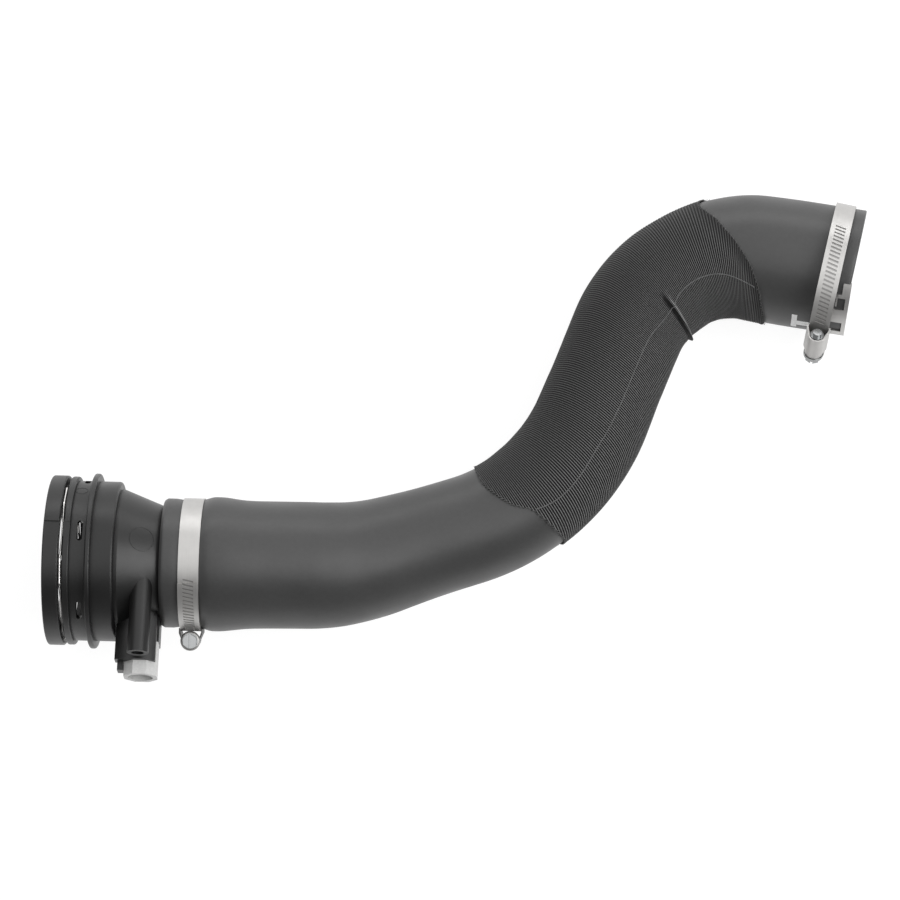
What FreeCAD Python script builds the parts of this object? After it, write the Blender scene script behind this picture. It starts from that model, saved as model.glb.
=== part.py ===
import FreeCAD, Part
import math
import os
import re
import Sketcher
from FreeCAD import Placement, Rotation, Vector

# Charge air hose: a quick coupling, a moulded rubber hose with a knitted sleeve, and two worm clamps.
# The origin is on the coupling's axis at the entry of its sealing bore.
# The mouth faces -X and the hose leaves along +X.
# +Z is up, and the part lies on its lowest points: the coupling's rib and the sleeve.

# Driving sizes, in millimetres and degrees
SIZES = {
    # clearances
    "fit_gap": 0.1,
    "seat_gap": 0.2,
    "turning_gap": 0.35,
    # coupling bore and mouth
    "bore_radius": 37.0,
    "bore_depth": 13.0,
    "lead_in": 2.2,
    "mouth_step": 4.2,
    "mouth_chamfer": 1.2,
    "mouth_ring_wall": 9.6,
    "mouth_ring_width": 8.7,
    "spring_slot_width": 1.9,
    "post_wall": 6.4,
    "second_ring_wall": 9.2,
    "second_ring_width": 3.9,
    "neck_wall": 6.9,
    "neck_width": 8.4,
    "rib_wall": 11.1,
    "rib_width": 2.9,
    "rib_lead": 1.3,
    "edge_round": 0.9,
    # coupling drum, cone and hose stub
    "drum_wall": 6.9,
    "drum_end": 13.6,
    "drum_round": 1.4,
    "shoulder_wall": 2.6,
    "shoulder_width": 1.8,
    "cone_length": 21.9,
    "cone_end_step": 4.0,
    "cone_wall": 4.2,
    "stub_length": 32.7,
    "stub_wall": 4.0,
    "bead_height": 0.9,
    "bead_width": 2.2,
    # seal groove
    "groove_start": 3.5,
    "groove_width": 6.5,
    "groove_depth": 3.9,
    "seal_squeeze": 0.2,
    "lip_width": 1.1,
    "lip_height": 1.3,
    # windows, spring chords and the key recess round the mouth
    "window_count": 6,
    "window_clock": 24.0,
    "window_width": 11.6,
    "window_height": 3.0,
    "window_inset": 3.5,
    "recess_width": 8.5,
    "recess_depth": 0.8,
    # retaining spring wire
    "wire_radius": 0.65,
    "wire_chord_step": 3.3,
    "wire_chord_half_angle": 15.5,
    "wire_seat_half_angle": 9.0,
    "wire_side_angle": 0.8,
    "wire_bend_radius": 2.0,
    # sensor hood, port and screw boss
    "port_clock": 71.0,
    "hood_left": 14.3,
    "hood_right": 36.2,
    "hood_back": 2.0,
    "hood_side": 8.8,
    "hood_front": 12.4,
    "hood_drop": 14.0,
    "rear_left": 16.0,
    "rear_right": 37.1,
    "rear_back": 10.5,
    "rear_drop": 2.1,
    "rail_left": 15.6,
    "rail_right": 18.7,
    "rail_front": 5.0,
    "rail_back": 2.0,
    "rail_drop": 18.8,
    "port_x": 28.1,
    "port_radius": 7.2,
    "boss_x": 28.2,
    "boss_offset": 23.6,
    "boss_radius": 5.85,
    "boss_hole_radius": 3.4,
    "boss_hole_depth": 20.0,
    "web_width": 5.0,
    "web_drop": 10.0,
    # sensor port plug
    "plug_width": 18.0,
    "plug_drop": 21.6,
    "plug_shank_length": 8.5,
    "plug_cup_radius": 6.7,
    "plug_cup_depth": 16.0,
    # hose and sleeve
    "hose_radius": 35.0,
    "waist_step": 4.7,
    "hose_wall": 5.0,
    "taper_step": 3.1,
    "taper_length": 42.0,
    "cuff_step": 1.4,
    "cuff_length": 18.0,
    "sleeve_thickness": 0.8,
    # worm clamps
    "band_width": 11.2,
    "band_thickness": 0.7,
    "band_layer_gap": 0.5,
    "band_seat_angle": 6.0,
    "band_ramp_angle": 20.0,
    "left_tail_angle": 75.0,
    "right_tail_angle": 52.0,
    "slot_length": 5.8,
    "slot_width": 1.1,
    "slot_slant": 12.0,
    "slot_pitch": 2.4,
    "slot_first_angle": 14.0,
    "left_slot_count": 18,
    "right_slot_count": 25,
    "left_band_x": 53.6,
    "right_band_inset": 11.3,
    "right_band_width": 10.9,
    "right_band_slack": 6.5,
    "right_hang_clock": 71.0,
    "right_clamp_tilt": 3.0,
    "left_clamp_clock": 90.0,
    "right_clamp_clock": 52.0,
    "housing_length": 14.5,
    "housing_sheet": 0.8,
    "screw_lift": 0.9,
    "thread_radius": 3.7,
    "tip_radius": 2.4,
    "tip_length": 2.2,
    "flange_radius": 5.45,
    "flange_width": 1.2,
    "head_across_flats": 7.0,
    "head_length": 4.0,
    "driver_slot_width": 1.2,
    "driver_slot_depth": 1.6,
    # clip of the right clamp
    "clip_thickness": 0.8,
    "clip_start_clock": 15.0,
    "clip_sweep": 66.0,
    "clip_length": 15.0,
    "clip_hook": 4.0,
    "clip_rim": 1.2,
    "clip_notch_rim": 3.4,
    "clip_notch_angle": 4.6,
    "clip_notch_width": 7.1,
    "clip_first_angle": 19.6,
    "clip_first_width": 7.2,
    "clip_second_angle": 48.4,
    "clip_second_width": 9.3,
    "clip_ear_width": 2.2,
    "clip_ear_angle": 12.0,
}

# Centre line of the hose past the stub: offsets of its corners from the stub's end
HOSE_CORNERS = [
    Vector(8.6, 0.0, 0.0),
    Vector(69.6, 0.8, -8.5),
    Vector(183.2, 38.1, -17.0),
    Vector(226.4, 152.4, -17.0),
    Vector(266.1, 180.5, -15.5),
]
HOSE_END = Vector(342.4, 169.75, -6.2)
HOSE_BENDS = [100.0, 129.0, 110.0, 67.0, 65.0]

# Slanted ends of the sleeve: a point of each cut from the stub's end, and the cut's direction seen from above
SLEEVE_CUTS = [
    (Vector(162.7, 36.6, 0.0), -38.5),
    (Vector(276.0, 173.6, 0.0), -59.9),
]

doc = FreeCAD.newDocument("charge_air_hose")
sheet = doc.addObject("Spreadsheet::Sheet", "Sizes")
for row, (alias, number) in enumerate(SIZES.items(), start=1):
    sheet.set(f"A{row}", alias)
    sheet.set(f"B{row}", str(number))
    sheet.setAlias(f"B{row}", alias)
doc.recompute()


def size(text):
    """Number that an expression of sheet sizes comes to."""
    return float(sheet.evalExpression(text))


def bound(text):
    """The same expression as another object of the document writes it."""
    return re.sub(r"[a-z_]+", lambda word: f"Sizes.{word[0]}" if word[0] in SIZES else word[0], text)


def bind(thing, **properties):
    """Binds an object's properties to expressions of sheet sizes."""
    for name, text in properties.items():
        thing.setExpression(name, bound(text))


# Radii of the coupling, from its bore and the hose
MOUTH_BORE = "(bore_radius + mouth_step)"
MOUTH_RING = "(bore_radius + mouth_ring_wall)"
POST = "(bore_radius + post_wall)"
SECOND_RING = "(bore_radius + second_ring_wall)"
NECK = "(bore_radius + neck_wall)"
RIB = "(bore_radius + rib_wall)"
DRUM = "(bore_radius + drum_wall)"
SHOULDER = "(bore_radius + shoulder_wall)"
CONE_TIP = "(hose_radius - cone_end_step)"
GROOVE_RADIUS = "(bore_radius + groove_depth)"
# Half the width of a spring slot, and the radius at which the wire turns off its seat on a post
SLOT_HALF = f"({POST} * sin(180 / window_count - wire_seat_half_angle + wire_side_angle))"
WIRE_SEAT = f"(({POST} + wire_radius + fit_gap) / cos(wire_seat_half_angle))"
STUB = "(hose_radius - hose_wall - fit_gap - bead_height)"
STUB_BORE = "(hose_radius - hose_wall - stub_wall)"

# Reach of the sensor port's blocks from the coupling's axis
HOOD_REACH = f"({DRUM} + hood_drop)"
REAR_REACH = f"({DRUM} + rear_drop)"
RAIL_REACH = f"({DRUM} + rail_drop)"
WEB_REACH = f"({DRUM} + web_drop)"
PLUG_REACH = f"({DRUM} + plug_drop)"
PORT_ROOT = f"({CONE_TIP} / 2)"

# Insides of the two clamp bands, and how far the loose one hangs off the hose's axis
LEFT_BAND = "(hose_radius + seat_gap)"
RIGHT_BAND = "(hose_radius + right_band_slack)"
RIGHT_HANG = "(right_band_slack - seat_gap - right_band_width / 2 * sin(right_clamp_tilt))"

# Places along the coupling's axis
REAR_OF_NECK = "(-rib_lead)"
REAR_OF_SECOND_RING = "(-rib_lead - neck_width)"
REAR_OF_SLOT = "(-rib_lead - neck_width - second_ring_width)"
REAR_OF_MOUTH_RING = "(-rib_lead - neck_width - second_ring_width - spring_slot_width)"
MOUTH = "(-rib_lead - neck_width - second_ring_width - spring_slot_width - mouth_ring_width)"
CONE_START = "(drum_end + shoulder_width)"
CONE_END = "(drum_end + shoulder_width + cone_length)"
STUB_END = "(drum_end + shoulder_width + cone_length + stub_length)"
SPRING_X = "(-rib_lead - neck_width - second_ring_width - spring_slot_width / 2)"

# Height of a worm screw's axis over the inside of its band
SCREW_LINE = "(2 * band_thickness + band_layer_gap + turning_gap + screw_lift + thread_radius)"
# Turns a sketch so that its normal is the clamp's X axis and its own X runs round the clamp
OUTWARD = Rotation(Vector(0, 1, 0), 90) * Rotation(Vector(0, 0, 1), 90)


def plane(body, role):
    """Origin plane or axis of a body, by its role."""
    return next(feature for feature in body.Origin.OriginFeatures if feature.Role == role)


def new_body(label, placement=Placement()):
    body = doc.addObject("PartDesign::Body", label)
    body.Label = label
    body.Placement = placement
    return body


def new_sketch(body, name, role="XY_Plane", offset=Placement()):
    sketch = body.newObject("Sketcher::SketchObject", name)
    sketch.AttachmentSupport = [(plane(body, role), "")]
    sketch.MapMode = "FlatFace"
    sketch.AttachmentOffset = offset
    return sketch


def pin(sketch, edge, end, places):
    """Ties one end of an edge to expressions, measured from the sketch's origin."""
    for kind, text in places.items():
        index = sketch.addConstraint(Sketcher.Constraint(kind, -1, 1, edge, end, size(text)))
        sketch.setExpression(f"Constraints[{index}]", bound(text))


def trace(sketch, corners):
    """Draws a closed outline.

    A corner is (x, y). With a third entry (centre x, centre y, turn), an arc about that centre leads to the
    next corner, counter-clockwise where turn is 1 and clockwise where it is -1.
    """
    points = [Vector(size(corner[0]), size(corner[1]), 0) for corner in corners]
    ends = []
    for index, corner in enumerate(corners):
        start, stop = points[index], points[(index + 1) % len(points)]
        if len(corner) == 2:
            edge = sketch.addGeometry(Part.LineSegment(start, stop))
            ends.append((edge, 1, 2))
            continue
        centre = Vector(size(corner[2][0]), size(corner[2][1]), 0)
        turn = corner[2][2]
        low, high = (start, stop) if turn > 0 else (stop, start)
        low_angle = math.atan2(low.y - centre.y, low.x - centre.x)
        high_angle = math.atan2(high.y - centre.y, high.x - centre.x)
        if high_angle <= low_angle:
            high_angle += 2 * math.pi
        circle = Part.Circle(centre, Vector(0, 0, 1), (start - centre).Length)
        edge = sketch.addGeometry(Part.ArcOfCircle(circle, low_angle, high_angle))
        ends.append((edge, 1, 2) if turn > 0 else (edge, 2, 1))
    for index, (edge, first, last) in enumerate(ends):
        following = ends[(index + 1) % len(ends)]
        sketch.addConstraint(Sketcher.Constraint("Coincident", edge, last, following[0], following[1]))
    for index, corner in enumerate(corners):
        pin(sketch, ends[index][0], ends[index][1], {"DistanceX": corner[0], "DistanceY": corner[1]})
        if len(corner) == 3:
            chord = points[(index + 1) % len(points)] - points[index]
            free = ("DistanceY", corner[2][1]) if abs(chord.x) > abs(chord.y) else ("DistanceX", corner[2][0])
            pin(sketch, ends[index][0], 3, dict([free]))
    return sketch


def ring(sketch, x, y, radius):
    """Draws a full circle."""
    edge = sketch.addGeometry(Part.Circle(Vector(size(x), size(y), 0), Vector(0, 0, 1), size(radius)))
    pin(sketch, edge, 3, {"DistanceX": x, "DistanceY": y})
    index = sketch.addConstraint(Sketcher.Constraint("Radius", edge, size(radius)))
    sketch.setExpression(f"Constraints[{index}]", bound(radius))
    return sketch


def rectangle(sketch, left, right, bottom, top):
    return trace(sketch, [(left, bottom), (right, bottom), (right, top), (left, top)])


def revolve(body, kind, name, sketch, axis="H_Axis"):
    feature = body.newObject(f"PartDesign::{kind}", name)
    feature.Profile = sketch
    feature.ReferenceAxis = (sketch, [axis])
    feature.Angle = 360
    return feature


def extrude(body, kind, name, sketch, length, against_normal=False, both_ways=False):
    """Pads or pockets a sketch. A pocket runs against its sketch's normal unless it is reversed."""
    feature = body.newObject(f"PartDesign::{kind}", name)
    feature.Profile = sketch
    bind(feature, Length=length)
    feature.Midplane = both_ways
    feature.Reversed = against_normal == (kind == "Pad")
    return feature


def repeat(body, name, original, axis, count, sweep):
    """Polar pattern of a feature about one of the body's own axes."""
    pattern = body.newObject("PartDesign::PolarPattern", name)
    pattern.Originals = [original]
    pattern.Axis = (plane(body, axis), [""])
    pattern.Angle = sweep
    pattern.Occurrences = count
    body.Tip = pattern
    return pattern


def on_clock(angle, lift=0.0):
    """Offset of a sketch plane whose normal points away from the X axis, at an angle from +Z towards +Y."""
    turn = Rotation(Vector(1, 0, 0), -angle)
    return Placement(turn.multVec(Vector(0, 0, lift)), turn)


def circle_edges(feature, radius):
    """Names of a feature's full round edges of one radius."""
    names = []
    for index, edge in enumerate(feature.Shape.Edges, start=1):
        round_edge = isinstance(edge.Curve, Part.Circle) and abs(edge.Curve.Radius - radius) < 1e-4
        if round_edge:
            names.append(f"Edge{index}")
    return names


def coupling_body():
    """Moulded coupling: a turned outside with the port's blocks added, and the duct bored through it all."""
    body = new_body("coupling_body")
    outside = trace(new_sketch(body, "outside"), [
        (MOUTH, "0"),
        (MOUTH, MOUTH_RING),
        (REAR_OF_MOUTH_RING, MOUTH_RING),
        (REAR_OF_MOUTH_RING, POST),
        (REAR_OF_SLOT, POST),
        (REAR_OF_SLOT, SECOND_RING),
        (REAR_OF_SECOND_RING, SECOND_RING),
        (REAR_OF_SECOND_RING, NECK),
        (REAR_OF_NECK, NECK),
        (REAR_OF_NECK, RIB),
        ("rib_width - rib_lead", RIB),
        ("rib_width - rib_lead", DRUM),
        ("drum_end", DRUM),
        ("drum_end", SHOULDER),
        (CONE_START, SHOULDER),
        (CONE_END, CONE_TIP),
        (CONE_END, STUB),
        (f"{STUB_END} - 3 * bead_width", STUB),
        (f"{STUB_END} - 2 * bead_width", f"{STUB} + bead_height"),
        (f"{STUB_END} - bead_width", f"{STUB} + bead_height"),
        (STUB_END, STUB),
        (STUB_END, "0"),
    ])
    turned = revolve(body, "Revolution", "turned_outside", outside)
    doc.recompute()
    rounds = [
        ("ring_rounds", MOUTH_RING, "edge_round"),
        ("second_ring_rounds", SECOND_RING, "edge_round"),
        ("rib_rounds", RIB, "edge_round"),
    ]
    last = turned
    for name, radius, text in rounds:
        fillet = body.newObject("PartDesign::Fillet", name)
        fillet.Base = (last, circle_edges(last, size(radius)))
        bind(fillet, Radius=text)
        doc.recompute()
        last = fillet
    drum_edge = [
        f"Edge{index}"
        for index, edge in enumerate(last.Shape.Edges, start=1)
        if isinstance(edge.Curve, Part.Circle)
        and abs(edge.Curve.Radius - size(DRUM)) < 1e-4
        and abs(edge.CenterOfMass.x - size("drum_end")) < 1e-4
    ]
    fillet = body.newObject("PartDesign::Fillet", "drum_round_edge")
    fillet.Base = (last, drum_edge)
    bind(fillet, Radius="drum_round")
    doc.recompute()

    # Sensor hood, rear block, rail, screw boss and web, each drawn square to the port's axis
    def port_sketch(name, reach):
        return new_sketch(body, name, offset=on_clock(-size("port_clock"), size(reach)))

    hood_middle = "(hood_left + hood_right) / 2"
    hood_rise = "(hood_front - hood_side)"
    hood_curve = f"(((hood_right - hood_left) / 2) ^ 2 + {hood_rise} ^ 2) / (2 * {hood_rise})"
    hood = trace(port_sketch("hood_outline", HOOD_REACH), [
        ("hood_left", "hood_back"),
        ("hood_right", "hood_back"),
        ("hood_right", "hood_side", (hood_middle, f"hood_front - {hood_curve}", 1)),
        ("hood_left", "hood_side"),
    ])
    extrude(body, "Pad", "hood", hood, f"{HOOD_REACH} - {PORT_ROOT}", against_normal=True)
    rear = rectangle(
        port_sketch("rear_outline", REAR_REACH),
        "rear_left",
        "rear_right",
        "-rear_back",
        "hood_back",
    )
    extrude(body, "Pad", "rear_block", rear, f"{REAR_REACH} - {PORT_ROOT}", against_normal=True)
    rail = rectangle(
        port_sketch("rail_outline", RAIL_REACH),
        "rail_left",
        "rail_right",
        "-rail_back",
        "rail_front",
    )
    extrude(body, "Pad", "rail", rail, f"{RAIL_REACH} - {PORT_ROOT}", against_normal=True)
    boss = ring(port_sketch("boss_outline", HOOD_REACH), "boss_x", "boss_offset", "boss_radius")
    extrude(body, "Pad", "screw_boss", boss, f"{HOOD_REACH} - boss_radius", against_normal=True)
    web = rectangle(
        port_sketch("web_outline", WEB_REACH),
        "boss_x - web_width / 2",
        "boss_x + web_width / 2",
        "hood_side",
        "boss_offset",
    )
    extrude(body, "Pad", "boss_web", web, f"{WEB_REACH} - {PORT_ROOT}", against_normal=True)
    doc.recompute()

    inside = trace(new_sketch(body, "inside"), [
        (f"{MOUTH} - mouth_chamfer", "0"),
        (f"{MOUTH} - mouth_chamfer", f"{MOUTH_BORE} + 2 * mouth_chamfer"),
        (f"{MOUTH} + mouth_chamfer", MOUTH_BORE),
        ("-lead_in", MOUTH_BORE),
        ("0", "bore_radius"),
        ("groove_start", "bore_radius"),
        ("groove_start", GROOVE_RADIUS),
        ("groove_start + groove_width", GROOVE_RADIUS),
        ("groove_start + groove_width", "bore_radius"),
        ("bore_depth", "bore_radius"),
        ("bore_depth", f"{SHOULDER} - cone_wall"),
        (CONE_START, f"{SHOULDER} - cone_wall"),
        (CONE_END, STUB_BORE),
        (f"{STUB_END} + bead_width", STUB_BORE),
        (f"{STUB_END} + bead_width", "0"),
    ])
    revolve(body, "Groove", "duct", inside)

    port = ring(port_sketch("port_outline", RAIL_REACH), "port_x", "0", "port_radius")
    extrude(body, "Pocket", "port", port, f"{RAIL_REACH} - {PORT_ROOT}", against_normal=True)
    plug_half = "(plug_width / 2 + seat_gap)"
    plug_flat = f"{plug_half} * tan(22.5)"
    seat = trace(port_sketch("plug_seat_outline", RAIL_REACH), [
        (f"port_x + {x}", y)
        for x, y in octagon(plug_half, plug_flat)
    ])
    extrude(body, "Pocket", "plug_seat", seat, f"{RAIL_REACH} - {REAR_REACH}", against_normal=True)
    hole = ring(port_sketch("hole_outline", HOOD_REACH), "boss_x", "boss_offset", "boss_hole_radius")
    extrude(body, "Pocket", "screw_hole", hole, "boss_hole_depth", against_normal=True)

    # Openings round the mouth: the spring's slots, the windows and the key recess
    clock = on_clock(size("window_clock"))
    sweep = 360.0
    count = int(size("window_count"))
    slot = rectangle(
        new_sketch(body, "spring_slot_outline", offset=clock),
        REAR_OF_MOUTH_RING,
        REAR_OF_SLOT,
        f"-{SLOT_HALF}",
        SLOT_HALF,
    )
    spring_slot = extrude(body, "Pocket", "spring_slot", slot, RIB)
    repeat(body, "spring_slots", spring_slot, "X_Axis", count, sweep)
    window_middle = f"({REAR_OF_SECOND_RING} + window_inset + window_height / 2)"
    window_flat = "((window_width - window_height) / 2)"
    pane = trace(new_sketch(body, "window_outline", offset=clock), [
        (f"{window_middle} + window_height / 2", f"-{window_flat}"),
        (f"{window_middle} + window_height / 2", window_flat, (window_middle, window_flat, 1)),
        (f"{window_middle} - window_height / 2", window_flat),
        (f"{window_middle} - window_height / 2", f"-{window_flat}", (window_middle, f"-{window_flat}", 1)),
    ])
    window = extrude(body, "Pocket", "window", pane, RIB)
    repeat(body, "windows", window, "X_Axis", count, sweep)
    recess_floor = on_clock(size("window_clock"), size(f"{MOUTH_RING} - recess_depth"))
    recess = rectangle(
        new_sketch(body, "recess_outline", offset=recess_floor),
        MOUTH,
        REAR_OF_SECOND_RING,
        "-recess_width / 2",
        "recess_width / 2",
    )
    body.Tip = extrude(body, "Pocket", "key_recess", recess, "4 * recess_depth")
    return body


def octagon(half, flat):
    """Corner offsets of a regular octagon, from half its width and half the length of a side."""
    signs = [(1, -1), (1, 1), (-1, 1), (-1, -1)]
    corners = []
    for across, up in signs:
        side = (f"{across} * {half}", f"{up} * {flat}")
        end = (f"{across} * {flat}", f"{up} * {half}")
        corners += [side, end] if across == up else [end, side]
    return corners


def coupling_seal():
    """Sealing ring with two lips, drawn as its mate squeezes it."""
    body = new_body("coupling_seal")
    low = "(groove_start + seat_gap)"
    high = "(groove_start + groove_width - seat_gap)"
    tip = "(bore_radius - seal_squeeze)"
    root = "(bore_radius - seal_squeeze + lip_height)"
    section = trace(new_sketch(body, "section"), [
        (low, f"{GROOVE_RADIUS} - fit_gap"),
        (low, root),
        (f"{low} + lip_width", tip),
        (f"{low} + 2 * lip_width", tip),
        (f"({low} + {high}) / 2", root),
        (f"{high} - 2 * lip_width", tip),
        (f"{high} - lip_width", tip),
        (high, root),
        (high, f"{GROOVE_RADIUS} - fit_gap"),
    ])
    revolve(body, "Revolution", "lips", section)
    return body


def rounded_route(points, radii):
    """Straight runs and tangent arcs through a row of corners.

    Each piece is (start, stop, centre, axis, angle), and a straight run has no centre.
    """
    pieces = []
    start = points[0]
    for corner, before, after, radius in zip(points[1:-1], points[:-2], points[2:], radii):
        arriving = (corner - before).normalize()
        leaving = (after - corner).normalize()
        angle = arriving.getAngle(leaving)
        reach = radius * math.tan(angle / 2)
        axis = arriving.cross(leaving).normalize()
        enter = corner - arriving * reach
        leave = corner + leaving * reach
        pieces.append((start, enter, None, None, 0.0))
        pieces.append((enter, leave, enter + axis.cross(arriving) * radius, axis, angle))
        start = leave
    pieces.append((start, points[-1], None, None, 0.0))
    return pieces


def route_wire(pieces):
    """One wire along a rounded route."""
    edges = []
    for start, stop, centre, axis, angle in pieces:
        if centre is None:
            edges.append(Part.makeLine(start, stop))
            continue
        middle = centre + Rotation(axis, math.degrees(angle / 2)).multVec(start - centre)
        edges.append(Part.Arc(start, middle, stop).toShape())
    return Part.Wire(edges)


def retaining_spring():
    """Spring wire: straight chords that dip through the slots into the mouth, open between two of them."""
    count = int(size("window_count"))
    pitch = 360.0 / count
    middle = size(SPRING_X)

    def point(radius, angle):
        turn = math.radians(angle)
        return Vector(middle, radius * math.sin(turn), radius * math.cos(turn))

    chord_end = size("bore_radius + wire_chord_step") / math.cos(math.radians(size("wire_chord_half_angle")))
    seat = size(WIRE_SEAT)
    chord_half = size("wire_chord_half_angle")
    seat_edge = pitch / 2 - size("wire_seat_half_angle")
    points = []
    for step in range(count):
        chord_clock = size("window_clock") - pitch * (step + 2)
        points.append(point(seat, chord_clock + seat_edge))
        points.append(point(chord_end, chord_clock + chord_half))
        points.append(point(chord_end, chord_clock - chord_half))
        points.append(point(seat, chord_clock - seat_edge))
    bends = [size("wire_bend_radius")] * (len(points) - 2)
    wire = route_wire(rounded_route(points, bends))
    tangent = points[1] - points[0]
    section = Part.Wire([Part.makeCircle(size("wire_radius"), points[0], tangent)])
    shape = wire.makePipeShell([section], True, False)
    expected = math.pi * size("wire_radius") ** 2 * wire.Length
    assert abs(shape.Volume / expected - 1) < 0.01, "the spring's wire doesn't fill its route"
    return shape_node("retaining_spring", shape)


def shape_node(label, shape, placement=Placement()):
    node = doc.addObject("Part::Feature", label)
    node.Label = label
    node.Shape = shape
    node.Placement = placement
    return node


def hose_points(extra=0.0):
    """Corners of the hose's centre line, with both ends longer by extra."""
    stub_end = Vector(size(STUB_END), 0, 0)
    start = Vector(size(CONE_END) + size("seat_gap") - extra, 0, 0)
    corners = [stub_end + corner for corner in HOSE_CORNERS]
    end = stub_end + HOSE_END
    outward = (end - corners[-1]).normalize()
    return [start] + corners + [end + outward * extra]


def disc(radius, centre, normal):
    return Part.Face(Part.Wire([Part.makeCircle(radius, centre, normal)]))


def eased_taper(start, stop, first, last):
    """Round bar whose radius changes along one arc that runs out straight."""
    along = stop - start
    length = along.Length
    rise = last - first
    curve = (length ** 2 + rise ** 2) / (2 * abs(rise))
    bow = math.asin(length / curve) / 2
    dip = math.copysign(curve * (1 - math.cos(bow)), rise)
    near_end = Vector(length - curve * math.sin(bow), last - dip, 0)
    edges = [
        Part.makeLine(Vector(0, 0, 0), Vector(0, first, 0)),
        Part.Arc(Vector(0, first, 0), near_end, Vector(length, last, 0)).toShape(),
        Part.makeLine(Vector(length, last, 0), Vector(length, 0, 0)),
        Part.makeLine(Vector(length, 0, 0), Vector(0, 0, 0)),
    ]
    bar = Part.Face(Part.Wire(edges)).revolve(Vector(0, 0, 0), Vector(1, 0, 0), 360)
    bar.Placement = Placement(start, Rotation(Vector(1, 0, 0), along))
    return bar


def flared_bend(start, stop, centre, axis, angle, first, last):
    """Round bar along an arc whose radius grows evenly."""
    spine = route_wire([(start, stop, centre, axis, angle)])
    shell = Part.BRepOffsetAPI.MakePipeShell(spine)
    shell.add(Part.Wire([Part.makeCircle(first, start, axis.cross(start - centre))]), False, False)
    shell.add(Part.Wire([Part.makeCircle(last, stop, axis.cross(stop - centre))]), False, False)
    shell.build()
    shell.makeSolid()
    return shell.shape()


def hose_bar(offset, extra=0.0):
    """Solid bar along the hose's centre line, thicker than the hose's outside by offset."""
    wide = size("hose_radius") + offset
    waist = size("hose_radius - waist_step") + offset
    tapering = size("hose_radius - taper_step") + offset
    flaring = size("hose_radius - cuff_step") + offset
    pieces = rounded_route(hose_points(extra), HOSE_BENDS)
    taper_bend, flare_bend = 3, 9
    bends = {taper_bend: (wide, tapering), flare_bend: (waist, flaring)}
    runs = {
        taper_bend + 1: (tapering, waist, size("taper_length")),
        flare_bend + 1: (flaring, wide, size("cuff_length")),
    }
    bars = []
    for index, (start, stop, centre, axis, angle) in enumerate(pieces):
        radius = waist if taper_bend < index < flare_bend else wide
        along = stop - start
        if index in bends:
            bars.append(flared_bend(start, stop, centre, axis, angle, *bends[index]))
        elif index in runs:
            first, last, length = runs[index]
            level = start + along * (length / along.Length)
            bars.append(eased_taper(start, level, first, last))
            bars.append(Part.makeCylinder(last, (stop - level).Length, level, along))
        elif centre is None:
            bars.append(Part.makeCylinder(radius, along.Length, start, along))
        else:
            section = disc(radius, start, axis.cross(start - centre))
            bars.append(section.revolve(centre, axis, math.degrees(angle)))
    volume = sum(bar.Volume for bar in bars)
    whole = bars[0].multiFuse(bars[1:]).removeSplitter()
    assert abs(whole.Volume / volume - 1) < 1e-4, "the hose's runs overlap"
    return whole


def hose():
    """Moulded hose: wide at both ends, narrow along the double bend."""
    extra = size("hose_wall")
    shape = hose_bar(0.0).cut(hose_bar(-size("hose_wall"), extra))
    return shape_node("hose", shape)


def sleeve():
    """Knitted tube over the double bend, cut on the slant at both ends."""
    inner = size("seat_gap")
    tube = hose_bar(inner + size("sleeve_thickness")).cut(hose_bar(inner))
    stub_end = Vector(size(STUB_END), 0, 0)
    reach = 2 * HOSE_END.Length
    for (point, direction), side in zip(SLEEVE_CUTS, (-1, 1)):
        block = Part.makeBox(reach, reach, reach, Vector(-reach / 2, 0 if side > 0 else -reach, -reach / 2))
        block.Placement = Placement(stub_end + point, Rotation(Vector(0, 0, 1), direction))
        tube = tube.cut(block)
    return shape_node("sleeve", tube)


def clamp_frame(centre, along, clock):
    """Frame of a clamp: Z along the hose, X from its centre to the screw housing at the clock angle.

    The clock starts at the side that faces up and turns towards -Y.
    """
    facing = (Vector(0, 0, 1) - along * along.z).normalize()
    sideways = along.cross(facing)
    upright = Rotation(facing, sideways, along, "ZXY")
    return Placement(centre, upright * Rotation(Vector(0, 0, 1), clock))


def clamp_band(label, frame, inner, width, tail, count):
    """Perforated strip wound once round the hose, with its tail lying over its first end."""
    body = new_body(label, frame)
    outer = f"({inner} + band_thickness)"
    tail_inner = f"({inner} + band_thickness + band_layer_gap)"
    tail_outer = f"({inner} + 2 * band_thickness + band_layer_gap)"
    seat = "band_seat_angle"
    foot = "(band_seat_angle + band_ramp_angle)"

    def at(radius, angle):
        return (f"{radius} * cos({angle})", f"{radius} * sin({angle})")

    strip = trace(new_sketch(body, "strip"), [
        (*at(inner, foot), ("0", "0", 1)),
        at(inner, seat),
        (*at(outer, seat), ("0", "0", -1)),
        at(outer, foot),
        (*at(tail_outer, seat), ("0", "0", -1)),
        at(tail_outer, f"-{tail}"),
        (*at(tail_inner, f"-{tail}"), ("0", "0", 1)),
        at(tail_inner, seat),
    ])
    extrude(body, "Pad", "band", strip, width, both_ways=True)
    first = -size("slot_first_angle")
    step = math.degrees(size("slot_pitch") / size(tail_outer))
    face = Rotation(Vector(0, 0, 1), first) * OUTWARD
    slope = "slot_length / 2 * tan(slot_slant)"
    slot = trace(new_sketch(body, "slot_outline", offset=Placement(Vector(0, 0, 0), face)), [
        (f"-slot_width / 2 - {slope}", "-slot_length / 2"),
        (f"slot_width / 2 - {slope}", "-slot_length / 2"),
        (f"slot_width / 2 + {slope}", "slot_length / 2"),
        (f"-slot_width / 2 + {slope}", "slot_length / 2"),
    ])
    cut = extrude(body, "Pocket", "slot", slot, f"{tail_outer} + band_thickness")
    pattern = repeat(body, "slots", cut, "Z_Axis", count, step * (count - 1))
    pattern.Reversed = True
    return body


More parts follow.
